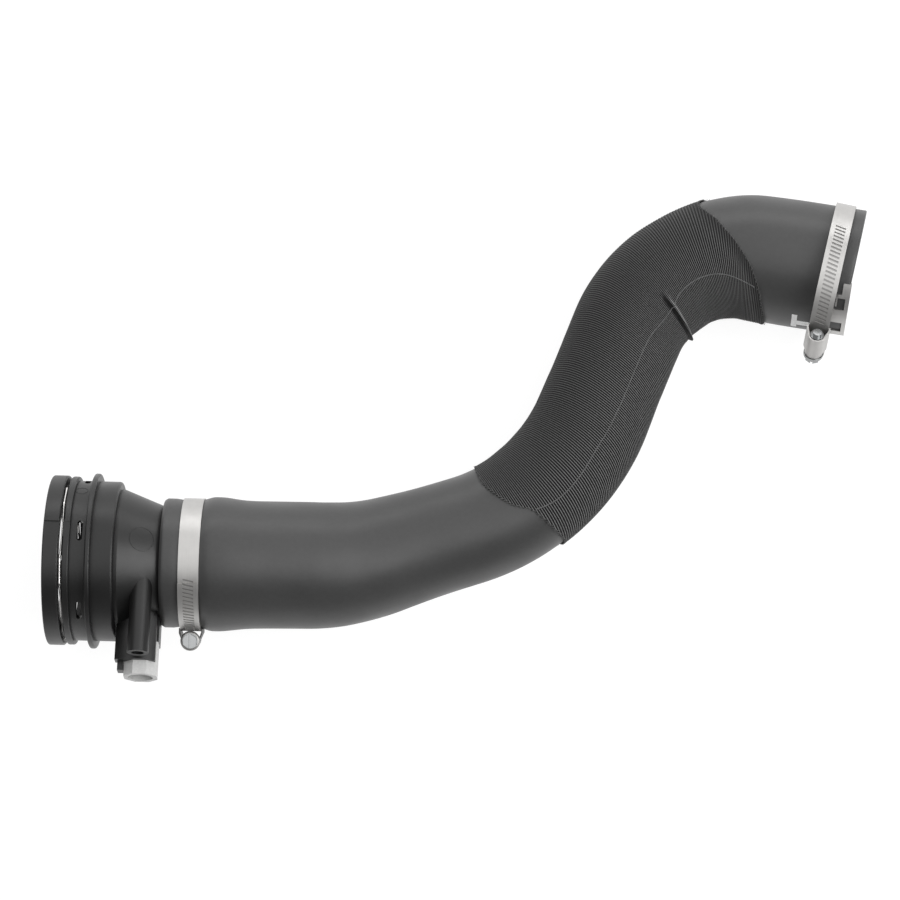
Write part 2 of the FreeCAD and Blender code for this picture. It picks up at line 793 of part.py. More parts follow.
def clamp_housing(label, frame, inner, width):
    """Pressed steel housing that straddles the band and covers the screw."""
    body = new_body(label, frame)
    middle = f"({inner} + {SCREW_LINE})"
    inside = "(thread_radius + turning_gap)"
    outside = "(thread_radius + turning_gap + housing_sheet)"
    leg = f"({width} / 2 + fit_gap)"
    skirt = f"({width} / 2 + fit_gap + housing_sheet)"
    foot = f"({inner} + seat_gap)"
    shoulder = f"({inner} + 2 * band_thickness + band_layer_gap + seat_gap)"
    turn = Rotation(Vector(1, 0, 0), 90)
    section = trace(new_sketch(body, "section", offset=Placement(Vector(0, 0, 0), turn)), [
        (foot, f"-{skirt}"),
        (f"{shoulder} + housing_sheet", f"-{skirt}"),
        (middle, f"-{outside}", (middle, "0", 1)),
        (middle, outside),
        (f"{shoulder} + housing_sheet", skirt),
        (foot, skirt),
        (foot, leg),
        (shoulder, leg),
        (middle, inside, (middle, "0", -1)),
        (middle, f"-{inside}"),
        (shoulder, f"-{leg}"),
        (foot, f"-{leg}"),
    ])
    extrude(body, "Pad", "pressing", section, "housing_length", both_ways=True)
    return body


def clamp_screw(label, frame, inner, head_side):
    """Worm screw along the band's tangent: plain core, pilot tip, flange and slotted hexagon head."""
    turn = Rotation(Vector(1, 0, 0), Vector(0, head_side, 0))
    centre = Vector(size(f"{inner} + {SCREW_LINE}"), 0, 0)
    body = new_body(label, frame * Placement(centre, turn))
    face = "(housing_length / 2 + seat_gap)"
    profile = trace(new_sketch(body, "profile"), [
        (f"-{face} - tip_length", "0"),
        (f"-{face} - tip_length", "tip_radius"),
        (f"-{face}", "tip_radius"),
        (f"-{face}", "thread_radius"),
        (face, "thread_radius"),
        (face, "flange_radius"),
        (f"{face} + flange_width", "flange_radius"),
        (f"{face} + flange_width", "0"),
    ])
    revolve(body, "Revolution", "core", profile)
    across = Rotation(Vector(0, 1, 0), 90)
    base = Vector(size(f"{face} + flange_width"), 0, 0)
    half = "(head_across_flats / 2)"
    corner = "(head_across_flats / 2 / cos(30))"
    side = "(head_across_flats / 2 * tan(30))"
    hexagon = trace(new_sketch(body, "hexagon", offset=Placement(base, across)), [
        (half, f"-{side}"),
        (half, side),
        ("0", corner),
        (f"-{half}", side),
        (f"-{half}", f"-{side}"),
        ("0", f"-{corner}"),
    ])
    extrude(body, "Pad", "head", hexagon, "head_length")
    top = Vector(size(f"{face} + flange_width + head_length"), 0, 0)
    slot = rectangle(
        new_sketch(body, "driver_slot_outline", offset=Placement(top, across)),
        "-driver_slot_width / 2",
        "driver_slot_width / 2",
        "-head_across_flats",
        "head_across_flats",
    )
    extrude(body, "Pocket", "driver_slot", slot, "driver_slot_depth", against_normal=True)
    return body


def right_clamp_clip(end, along):
    """Pressed clip that hooks over the hose's end and keeps the loose clamp in place."""
    frame = clamp_frame(end, along, size("clip_start_clock"))
    body = new_body("right_clamp_clip", frame)
    low = "(hose_radius + fit_gap)"
    high = "(hose_radius + fit_gap + clip_thickness)"
    section = trace(new_sketch(body, "section", "XZ_Plane"), [
        (low, "-clip_length"),
        (high, "-clip_length"),
        (high, "seat_gap + clip_thickness"),
        ("hose_radius - clip_hook", "seat_gap + clip_thickness"),
        ("hose_radius - clip_hook", "seat_gap"),
        (low, "seat_gap"),
    ])
    strip = revolve(body, "Revolution", "strip", section, "V_Axis")
    bind(strip, Angle="clip_sweep")
    doc.recompute()

    def facing(angle, lift=0.0):
        turn = Rotation(Vector(0, 0, 1), angle) * OUTWARD
        return Placement(turn.multVec(Vector(0, 0, lift)), turn)

    def band_edge(angle):
        aside = f"({RIGHT_BAND} * sin(clip_start_clock + {angle}) - {RIGHT_HANG} * sin(right_hang_clock))"
        return f"(-right_band_inset + right_band_width / 2 - {aside} * tan(right_clamp_tilt))"

    for name, rim in (("notch", "clip_notch_rim"), ("first", "clip_rim"), ("second", "clip_rim")):
        pane = rectangle(
            new_sketch(body, f"{name}_outline", offset=facing(size(f"clip_{name}_angle"))),
            f"-clip_{name}_width / 2",
            f"clip_{name}_width / 2",
            f"{band_edge(f'clip_{name}_angle')} - seat_gap",
            f"-{rim}",
        )
        extrude(body, "Pocket", f"{name}_opening", pane, f"{high} + clip_thickness")
    ear_foot = f"({band_edge('clip_ear_angle')} + 2 * seat_gap)"
    root = facing(size("clip_ear_angle"), size(f"{low} + clip_thickness / 2"))
    ear = rectangle(
        new_sketch(body, "ear_outline", offset=root),
        "-clip_ear_width / 2",
        "clip_ear_width / 2",
        ear_foot,
        f"{ear_foot} + clip_thickness",
    )
    extrude(body, "Pad", "ear", ear, "2 * right_band_slack - clip_thickness")
    return body


def sensor_port_plug():
    """Hollow eight-sided plug with a round shank in the sensor port."""
    turn = on_clock(-size("port_clock"))
    frame = Placement(Vector(size("port_x"), 0, 0), turn.Rotation)
    body = new_body("sensor_port_plug", frame)
    top = f"({REAR_REACH} + seat_gap)"
    flat = "(plug_width / 2 * tan(22.5))"
    base = Placement(Vector(0, 0, size(top)), Rotation())
    outline = trace(new_sketch(body, "outline", offset=base), octagon("(plug_width / 2)", flat))
    extrude(body, "Pad", "grip", outline, f"{PLUG_REACH} - {top}")
    shank = ring(new_sketch(body, "shank_outline", offset=base), "0", "0", "port_radius - seat_gap")
    extrude(body, "Pad", "shank", shank, "plug_shank_length", against_normal=True)
    end = Placement(Vector(0, 0, size(PLUG_REACH)), Rotation())
    cup = ring(new_sketch(body, "cup_outline", offset=end), "0", "0", "plug_cup_radius")
    extrude(body, "Pocket", "cup", cup, "plug_cup_depth", against_normal=True)
    return body


def left_clamp():
    """Tight clamp on the stub."""
    frame = clamp_frame(Vector(size("left_band_x"), 0, 0), Vector(1, 0, 0), size("left_clamp_clock"))
    left_slots = int(size("left_slot_count"))
    return [
        clamp_band("left_clamp_band", frame, LEFT_BAND, "band_width", "left_tail_angle", left_slots),
        clamp_housing("left_clamp_housing", frame, LEFT_BAND, "band_width"),
        clamp_screw("left_clamp_screw", frame, LEFT_BAND, -1),
    ]


def right_clamp():
    """Loose clamp at the open end: it hangs from the hose's upper side, held by its clip."""
    before, end = hose_points()[-2:]
    along = (end - before).normalize()
    hanging = clamp_frame(end, along, size("right_hang_clock")).Rotation
    hang = hanging.multVec(Vector(size(RIGHT_HANG), 0, 0))
    centre = end - along * size("right_band_inset") + hang
    sideways = clamp_frame(end, along, 90.0).Rotation.multVec(Vector(1, 0, 0))
    leaning = along + sideways * size("tan(right_clamp_tilt)")
    frame = clamp_frame(centre, leaning.normalize(), size("right_clamp_clock"))
    width = "right_band_width"
    right_slots = int(size("right_slot_count"))
    return [
        clamp_band("right_clamp_band", frame, RIGHT_BAND, width, "right_tail_angle", right_slots),
        clamp_housing("right_clamp_housing", frame, RIGHT_BAND, width),
        clamp_screw("right_clamp_screw", frame, RIGHT_BAND, 1),
        right_clamp_clip(end, along),
    ]


def check(nodes):
    """Stops if any feature failed or a piece isn't one sound solid."""
    failed = [thing.Name for thing in doc.Objects if {"Invalid", "Error"} & set(thing.State)]
    assert not failed, f"failed features: {failed}"
    for node in nodes:
        shape = node.Shape
        assert not shape.isNull() and shape.isValid(), f"{node.Label} has no sound shape"
        assert len(shape.Solids) == 1, f"{node.Label} is {len(shape.Solids)} solids"


pieces = [coupling_body(), coupling_seal(), retaining_spring(), sensor_port_plug(), hose(), sleeve()]
pieces += left_clamp() + right_clamp()
doc.recompute()
check(pieces)
os.makedirs("parts", exist_ok=True)
for piece in pieces:
    piece.Shape.exportStep(os.path.join("parts", f"{piece.Label}.step"))
    box = piece.Shape.BoundBox
    print(
        f"{piece.Label}: {piece.Shape.Volume:.0f} mm3,"
        f" {box.XLength:.1f} x {box.YLength:.1f} x {box.ZLength:.1f} mm"
    )
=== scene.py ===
"""Charge air hose: finishes, soft pieces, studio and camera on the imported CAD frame."""

import logging
import math
import random
from dataclasses import dataclass, field
from enum import Enum
from typing import Callable, Sequence

import bmesh
import bpy
from mathutils import Matrix, Vector, noise


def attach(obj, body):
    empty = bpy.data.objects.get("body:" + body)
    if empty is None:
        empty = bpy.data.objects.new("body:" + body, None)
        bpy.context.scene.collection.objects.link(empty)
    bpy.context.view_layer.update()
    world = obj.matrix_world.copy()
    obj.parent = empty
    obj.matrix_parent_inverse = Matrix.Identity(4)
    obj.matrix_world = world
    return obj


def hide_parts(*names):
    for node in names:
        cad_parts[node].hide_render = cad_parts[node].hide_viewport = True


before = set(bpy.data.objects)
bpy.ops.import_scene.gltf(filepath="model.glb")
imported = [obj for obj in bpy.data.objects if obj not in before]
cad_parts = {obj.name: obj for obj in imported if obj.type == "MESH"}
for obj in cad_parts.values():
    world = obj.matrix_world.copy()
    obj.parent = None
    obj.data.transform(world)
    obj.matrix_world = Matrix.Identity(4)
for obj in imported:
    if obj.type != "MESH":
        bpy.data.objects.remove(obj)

LOG = logging.getLogger("charge_air_hose")
MM = 0.001
ASSEMBLY = "hose_assembly"


class Grey(Enum):
    """Plain tones that the finishes start from, as linear grey."""

    # The darkest tone is painted shade for the bottom of the knit's grooves.
    GROOVE_SHADE = 0.004
    YARN = 0.040
    PLASTIC = 0.008
    RUBBER = 0.040
    THREAD = 0.115
    STEEL = 0.530
    PLUG = 0.600
    PAINT = 0.950

    def colour(self, gain: float = 1.0) -> tuple[float, float, float, float]:
        """The tone as a colour, made lighter or darker by a gain."""
        tone = self.value * gain
        return (tone, tone, tone, 1.0)


class NodeBench:
    """Wires up the nodes of one material."""

    def __init__(self, name: str) -> None:
        """Starts a material with a Principled shader.

        Args:
            name: Name of the material.
        """
        self.material = bpy.data.materials.new(name)
        self.material.use_nodes = True
        self.tree = self.material.node_tree
        self.shader = self.tree.nodes["Principled BSDF"]

    def add(self, kind: str, **settings: object) -> bpy.types.Node:
        """Adds a node.

        Args:
            kind: Blender's name of the node type.
            **settings: Attributes of the node.

        Returns:
            The new node.
        """
        node = self.tree.nodes.new(kind)
        for name, value in settings.items():
            setattr(node, name, value)
        return node

    def link(self, source: bpy.types.NodeSocket, target: bpy.types.NodeSocket) -> None:
        """Joins an output to an input."""
        self.tree.links.new(source, target)

    def set(self, **values: object) -> None:
        """Sets plain values on the shader's own sockets.

        Args:
            **values: Socket names with underscores for spaces, and their values.
        """
        for name, value in values.items():
            self.shader.inputs[name.replace("_", " ")].default_value = value

    def place(self) -> bpy.types.NodeSocket:
        """Coordinates of the frame, in metres."""
        return self.add("ShaderNodeTexCoord").outputs["Object"]

    def stretched(self, axis: Vector, across: float, along: float) -> bpy.types.NodeSocket:
        """Coordinates for marks that run round an axis.

        Args:
            axis: Direction of the axis that the marks run round.
            across: Marks to the metre along the axis.
            along: Changes to the metre along the marks.

        Returns:
            A vector output.
        """
        turn = Vector((1, 0, 0)).rotation_difference(axis).inverted().to_euler()
        upright = self.add("ShaderNodeVectorRotate", rotation_type="EULER_XYZ")
        upright.inputs["Rotation"].default_value = turn
        self.link(self.place(), upright.inputs["Vector"])
        scale = self.add("ShaderNodeVectorMath", operation="MULTIPLY")
        scale.inputs[1].default_value = (across, along, along)
        self.link(upright.outputs["Vector"], scale.inputs[0])
        return scale.outputs["Vector"]

    def cloud(
        self,
        scale: float,
        detail: float = 2.0,
        where: bpy.types.NodeSocket | None = None,
    ) -> bpy.types.NodeSocket:
        """Soft random pattern.

        Args:
            scale: Features to the metre.
            detail: Octaves of finer pattern.
            where: Coordinates, or the frame's own.

        Returns:
            A value output from 0 to 1.
        """
        node = self.add("ShaderNodeTexNoise")
        node.inputs["Scale"].default_value = scale
        node.inputs["Detail"].default_value = detail
        self.link(where or self.place(), node.inputs["Vector"])
        return node.outputs["Fac"]

    def tones(
        self,
        value: bpy.types.NodeSocket,
        stops: Sequence[tuple[float, tuple[float, float, float, float]]],
    ) -> bpy.types.NodeSocket:
        """Colours along a value.

        Args:
            value: Value output from 0 to 1.
            stops: Places and colours of the ramp.

        Returns:
            A colour output.
        """
        node = self.add("ShaderNodeValToRGB")
        ramp = node.color_ramp
        while len(ramp.elements) < len(stops):
            ramp.elements.new(0.5)
        for element, (place, colour) in zip(ramp.elements, stops):
            element.position = place
            element.color = colour
        self.link(value, node.inputs["Fac"])
        return node.outputs["Color"]

    def spread(self, value: bpy.types.NodeSocket, low: float, high: float) -> bpy.types.NodeSocket:
        """Value spread between two ends.

        Args:
            value: Value output, mostly between 0.3 and 0.7.
            low: Result at the low end.
            high: Result at the high end.

        Returns:
            A value output.
        """
        node = self.add("ShaderNodeMapRange")
        node.inputs["From Min"].default_value = 0.3
        node.inputs["From Max"].default_value = 0.7
        node.inputs["To Min"].default_value = low
        node.inputs["To Max"].default_value = high
        self.link(value, node.inputs["Value"])
        return node.outputs["Result"]

    def mixed(
        self,
        first: bpy.types.NodeSocket,
        second: bpy.types.NodeSocket,
        share: bpy.types.NodeSocket | float,
        blend: str = "MIX",
    ) -> bpy.types.NodeSocket:
        """Mix of two colours.

        Args:
            first: Colour output under the mix.
            second: Colour output over it.
            share: Share of the second one, or an output that gives it.
            blend: Blend type.

        Returns:
            A colour output.
        """
        node = self.add("ShaderNodeMix", data_type="RGBA", blend_type=blend)
        if isinstance(share, float):
            node.inputs["Factor"].default_value = share
        else:
            self.link(share, node.inputs["Factor"])
        self.link(first, node.inputs["A"])
        self.link(second, node.inputs["B"])
        return node.outputs["Result"]

    def bump(
        self,
        height: bpy.types.NodeSocket,
        depth: float,
        strength: float,
        under: bpy.types.NodeSocket | None = None,
    ) -> bpy.types.NodeSocket:
        """Small relief.

        Args:
            height: Value output of the relief.
            depth: Depth of the relief in metres.
            strength: Share of it that shows.
            under: Normal output of coarser relief.

        Returns:
            A normal output.
        """
        node = self.add("ShaderNodeBump")
        node.inputs["Strength"].default_value = strength
        node.inputs["Distance"].default_value = depth
        self.link(height, node.inputs["Height"])
        if under is not None:
            self.link(under, node.inputs["Normal"])
        return node.outputs["Normal"]

    def feed(self, **outputs: bpy.types.NodeSocket) -> bpy.types.Material:
        """Joins outputs to the shader.

        Args:
            **outputs: Socket names with underscores for spaces, and outputs.

        Returns:
            The finished material.
        """
        for name, output in outputs.items():
            self.link(output, self.shader.inputs[name.replace("_", " ")])
        return self.material


@dataclass(frozen=True)
class MouldedRubber:
    """Matte rubber with cloudy bloom and fine grain."""

    name: str = "moulded_rubber"
    tone: Grey = Grey.RUBBER
    roughness: tuple[float, float] = (0.38, 0.47)
    grain_mm: float = 0.45

    def material(self) -> bpy.types.Material:
        """Builds the finish.

        Returns:
            The material.
        """
        bench = NodeBench(self.name)
        bloom = bench.cloud(16.0, 3.0)
        dust = bench.cloud(420.0, 3.0)
        base = bench.tones(bloom, [(0.3, self.tone.colour(0.93)), (0.7, self.tone.colour(1.07))])
        specks = bench.tones(dust, [(0.35, self.tone.colour(0.92)), (0.68, self.tone.colour(1.10))])
        colour = bench.mixed(base, specks, 0.5)
        waves = bench.bump(bench.cloud(70.0, 1.0), 0.4 * MM, 0.12)
        grain = bench.bump(bench.cloud(1000.0 / self.grain_mm, 2.0), 0.08 * MM, 0.35, waves)
        bench.set(Specular_IOR_Level=0.56)
        rough = bench.spread(bench.cloud(48.0, 3.0), *self.roughness)
        return bench.feed(Base_Color=colour, Roughness=rough, Normal=grain)


@dataclass(frozen=True)
class SatinPlastic:
    """Moulded plastic with a fine sparked grain."""

    name: str
    tone: Grey
    warmth: tuple[float, float, float] = (1.0, 1.0, 1.0)
    roughness: tuple[float, float] = (0.34, 0.44)
    grain_mm: float = 0.32

    def shade(self, gain: float) -> tuple[float, float, float, float]:
        """The tone with its warmth, lighter or darker by a gain."""
        red, green, blue, _ = self.tone.colour(gain)
        return (red * self.warmth[0], green * self.warmth[1], blue * self.warmth[2], 1.0)

    def material(self) -> bpy.types.Material:
        """Builds the finish.

        Returns:
            The material.
        """
        bench = NodeBench(self.name)
        flow = bench.cloud(38.0, 3.0)
        fibres = bench.cloud(900.0, 3.0)
        base = bench.tones(flow, [(0.3, self.shade(0.92)), (0.7, self.shade(1.08))])
        specks = bench.tones(fibres, [(0.4, self.shade(0.88)), (0.72, self.shade(1.18))])
        colour = bench.mixed(base, specks, 0.4)
        grain = bench.bump(bench.cloud(1000.0 / self.grain_mm, 2.0), 0.05 * MM, 0.30)
        bench.set(Specular_IOR_Level=0.5)
        rough = bench.spread(bench.cloud(55.0, 3.0), *self.roughness)
        return bench.feed(Base_Color=colour, Roughness=rough, Normal=grain)


@dataclass(frozen=True)
class RolledSteel:
    """Bright steel with marks of rolling that run round an axis."""

    name: str
    axis: tuple[float, float, float]
    tint: tuple[float, float, float] = (1.0, 0.985, 0.965)
    roughness: tuple[float, float] = (0.40, 0.52)
    marks: float = 5200.0
    gain: float = 1.0

    def shade(self, gain: float) -> tuple[float, float, float, float]:
        """The steel's tint, lighter or darker by a gain."""
        tone = Grey.STEEL.value * self.gain * gain
        return (tone * self.tint[0], tone * self.tint[1], tone * self.tint[2], 1.0)

    def material(self) -> bpy.types.Material:
        """Builds the finish.

        Returns:
            The material.
        """
        bench = NodeBench(self.name)
        lines = bench.stretched(Vector(self.axis), self.marks, 60.0)
        streaks = bench.cloud(1.0, 2.0, lines)
        stain = bench.cloud(130.0, 3.0)
        bright = bench.tones(streaks, [(0.3, self.shade(0.92)), (0.7, self.shade(1.08))])
        dull = bench.tones(stain, [(0.35, self.shade(0.90)), (0.7, self.shade(1.06))])
        colour = bench.mixed(bright, dull, 0.45)
        relief = bench.bump(streaks, 0.02 * MM, 0.35)
        bench.set(Metallic=1.0)
        rough = bench.spread(streaks, *self.roughness)
        return bench.feed(Base_Color=colour, Roughness=rough, Normal=relief)


@dataclass(frozen=True)
class KnitYarn:
    """Ribbed knit: painted shade in the grooves and a painted highlight on the crests, with twisted yarn on
    the ribs.
    """

    name: str = "knit_yarn"
    twist_mm: float = 0.9

    def material(self) -> bpy.types.Material:
        """Builds the finish from the sheet's rib attribute, which holds rib height with painted shade and
        highlight, and from its lay.

        Returns:
            The material.
        """
        bench = NodeBench(self.name)
        height = bench.add("ShaderNodeAttribute", attribute_name="rib").outputs["Fac"]
        lay = bench.add("ShaderNodeUVMap", uv_map="lay").outputs["UV"]
        # The ramp paints shade into the grooves and a bright painted highlight on the crests.
        ribs = bench.tones(height, [
            (0.0, Grey.GROOVE_SHADE.colour()),
            (0.62, Grey.YARN.colour(0.15)),
            (0.80, Grey.YARN.colour(2.4)),
            (1.0, Grey.YARN.colour(11.5)),
        ])
        fuzz = bench.cloud(1400.0, 4.0)
        fuzzy = bench.tones(fuzz, [(0.3, Grey.YARN.colour(0.55)), (0.75, Grey.YARN.colour(1.7))])
        wear = bench.cloud(24.0, 2.0)
        pale = bench.tones(wear, [(0.3, Grey.YARN.colour(0.85)), (0.7, Grey.YARN.colour(1.2))])
        colour = bench.mixed(bench.mixed(ribs, fuzzy, 0.09), pale, 0.05)
        twist = bench.add("ShaderNodeTexWave", wave_type="BANDS", bands_direction="DIAGONAL")
        twist.inputs["Scale"].default_value = 1000.0 / self.twist_mm / 2.0
        twist.inputs["Distortion"].default_value = 1.5
        bench.link(lay, twist.inputs["Vector"])
        strands = bench.bump(twist.outputs["Fac"], 0.12 * MM, 0.45)
        hairs = bench.bump(fuzz, 0.10 * MM, 0.35, strands)
        bench.set(Roughness=0.88, Specular_IOR_Level=0.14, Sheen_Weight=0.10, Sheen_Roughness=0.5)
        return bench.feed(Base_Color=colour, Normal=hairs)


@dataclass(frozen=True)
class SewingThread:
    """Twisted thread, paler than the knit."""

    name: str
    tone: Grey
    gain: float = 1.0

    def material(self) -> bpy.types.Material:
        """Builds the finish.

        Returns:
            The material.
        """
        bench = NodeBench(self.name)
        strands = bench.cloud(1600.0, 3.0)
        low, high = self.tone.colour(0.6 * self.gain), self.tone.colour(1.3 * self.gain)
        colour = bench.tones(strands, [(0.3, low), (0.7, high)])
        relief = bench.bump(strands, 0.12 * MM, 0.5)
        bench.set(Roughness=0.8, Specular_IOR_Level=0.3, Sheen_Weight=0.2)
        return bench.feed(Base_Color=colour, Normal=relief)


class SmoothTrack:
    """Smooth line of values through a few stops."""

    def __init__(self, stops: Sequence[tuple[float, float]], period: float = 0.0) -> None:
        """Keeps the stops.

        Args:
            stops: Places in rising order, and the values there.
            period: Length of one turn where the line closes on itself.
        """
        self.stops = list(stops)
        self.period = period

    def stop(self, index: int) -> tuple[float, float]:
        """One stop by its number, past both ends too.

        Args:
            index: Number of the stop.

        Returns:
            Its place and value.
        """
        count = len(self.stops)
        if self.period:
            place, value = self.stops[index % count]
            return (place + self.period * (index // count), value)
        return self.stops[min(max(index, 0), count - 1)]

    def slope(self, index: int) -> float:
        """Steepness of the line at a stop."""
        before, after = self.stop(index - 1), self.stop(index + 1)
        return (after[1] - before[1]) / (after[0] - before[0])

    def at(self, place: float) -> float:
        """Value at a place.

        Args:
            place: Where on the line.

        Returns:
            The value there.
        """
        first = self.stops[0][0]
        if self.period:
            place = first + (place - first) % self.period
        else:
            place = min(max(place, first), self.stops[-1][0])
        index = sum(1 for stop in self.stops[1:] if stop[0] <= place)
        if not self.period:
            index = min(index, len(self.stops) - 2)
        (low, start), (high, end) = self.stop(index), self.stop(index + 1)
        span = high - low
        t = (place - low) / span
        rise = self.slope(index) * span
        fall = self.slope(index + 1) * span
        bend = 2 * start - 2 * end + rise + fall
        lean = 3 * end - 3 * start - 2 * rise - fall
        return ((bend * t + lean) * t + rise) * t + start


def eased(value: float) -> float:
    """Smooth step from 0 to 1."""
    t = min(max(value, 0.0), 1.0)
    return t * t * (3 - 2 * t)


def hump(offset: float, width: float) -> float:
    """Bell shape of height 1."""
    return math.exp(-((offset / width) ** 2))


@dataclass(frozen=True)
class Station:
    """A place on the moulded line, with the directions there."""

    point: Vector
    along: Vector

    def out(self, clock: float) -> Vector:
        """Direction away from the line.

        Args:
            clock: Angle in radians from the upper side towards -Y.

        Returns:
            A unit vector across the line.
        """
        up = (Vector((0, 0, 1)) - self.along * self.along.z).normalized()
        return up * math.cos(clock) + self.along.cross(up) * math.sin(clock)


@dataclass(frozen=True)
class LinePiece:
    """One straight run or one round bend of the moulded line."""

    begin: float
    length: float
    start: Vector
    along: Vector
    centre: Vector | None = None
    axis: Vector | None = None

    def station(self, distance: float) -> Station:
        """The place at a distance along the whole line.

        Args:
            distance: Distance from the line's start, in millimetres.

        Returns:
            The place, with its directions.
        """
        into = distance - self.begin
        if self.centre is None or self.axis is None:
            return Station(self.start + self.along * into, self.along)
        arm = self.start - self.centre
        turn = Matrix.Rotation(into / arm.length, 3, self.axis)
        return Station(self.centre + turn @ arm, turn @ self.along)


@dataclass
class MouldedLine:
    """Centre line that the hose is moulded to, in millimetres: straight runs and the bends of its mould."""

    corners: Sequence[Vector]
    bends: Sequence[float]
    pieces: list[LinePiece] = field(default_factory=list)

    def __post_init__(self) -> None:
        """Lays the runs and bends end to end."""
        start, begin = self.corners[0], 0.0
        turns = zip(self.corners, self.corners[1:], self.corners[2:], self.bends)
        for before, corner, after, radius in turns:
            arriving = (corner - before).normalized()
            leaving = (after - corner).normalized()
            angle = arriving.angle(leaving)
            reach = radius * math.tan(angle / 2)
            enter = corner - arriving * reach
            run = (enter - start).length
            self.pieces.append(LinePiece(begin, run, start, arriving))
            axis = arriving.cross(leaving).normalized()
            centre = enter + axis.cross(arriving) * radius
            self.pieces.append(LinePiece(begin + run, radius * angle, enter, arriving, centre, axis))
            begin += run + radius * angle
            start = corner + leaving * reach
        last = self.corners[-1] - start
        self.pieces.append(LinePiece(begin, last.length, start, last.normalized()))

    @property
    def length(self) -> float:
        """Whole length of the line."""
        return self.pieces[-1].begin + self.pieces[-1].length

    def at(self, distance: float) -> Station:
        """The place at a distance from the line's start.

        Args:
            distance: Distance in millimetres.

        Returns:
            The place, with its directions.
        """
        chosen = self.pieces[0]
        for piece in self.pieces:
            if piece.begin <= distance:
                chosen = piece
        return chosen.station(distance)


def new_piece(
    name: str,
    data: bpy.types.ID,
    finish: bpy.types.Material,
    body: str = ASSEMBLY,
) -> bpy.types.Object:
    """Puts a mesh or curve of the object into the scene.

    Args:
        name: Name of the piece.
        data: Mesh or curve.
        finish: Material that it gets.
        body: Body that the piece rides on.

    Returns:
        The new piece.
    """
    data.materials.append(finish)
    piece = bpy.data.objects.new(name, data)
    bpy.context.scene.collection.objects.link(piece)
    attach(piece, body)
    LOG.info("built %s", name)
    return piece


def thread_curve(name: str, strands: Sequence[Sequence[Vector]], radius: float) -> bpy.types.Curve:
    """Round threads along rows of points.

    Args:
        name: Name of the curve.
        strands: Rows of points in millimetres.
        radius: Radius of the thread in millimetres.

    Returns:
        The curve, in metres.
    """
    curve = bpy.data.curves.new(name, "CURVE")
    curve.dimensions = "3D"
    curve.bevel_depth = radius * MM
    curve.bevel_resolution = 2
    curve.use_fill_caps = True
    for strand in strands:
        spline = curve.splines.new("POLY")
        spline.points.add(len(strand) - 1)
        for point, place in zip(spline.points, strand):
            point.co = (*(place * MM), 1.0)
    return curve


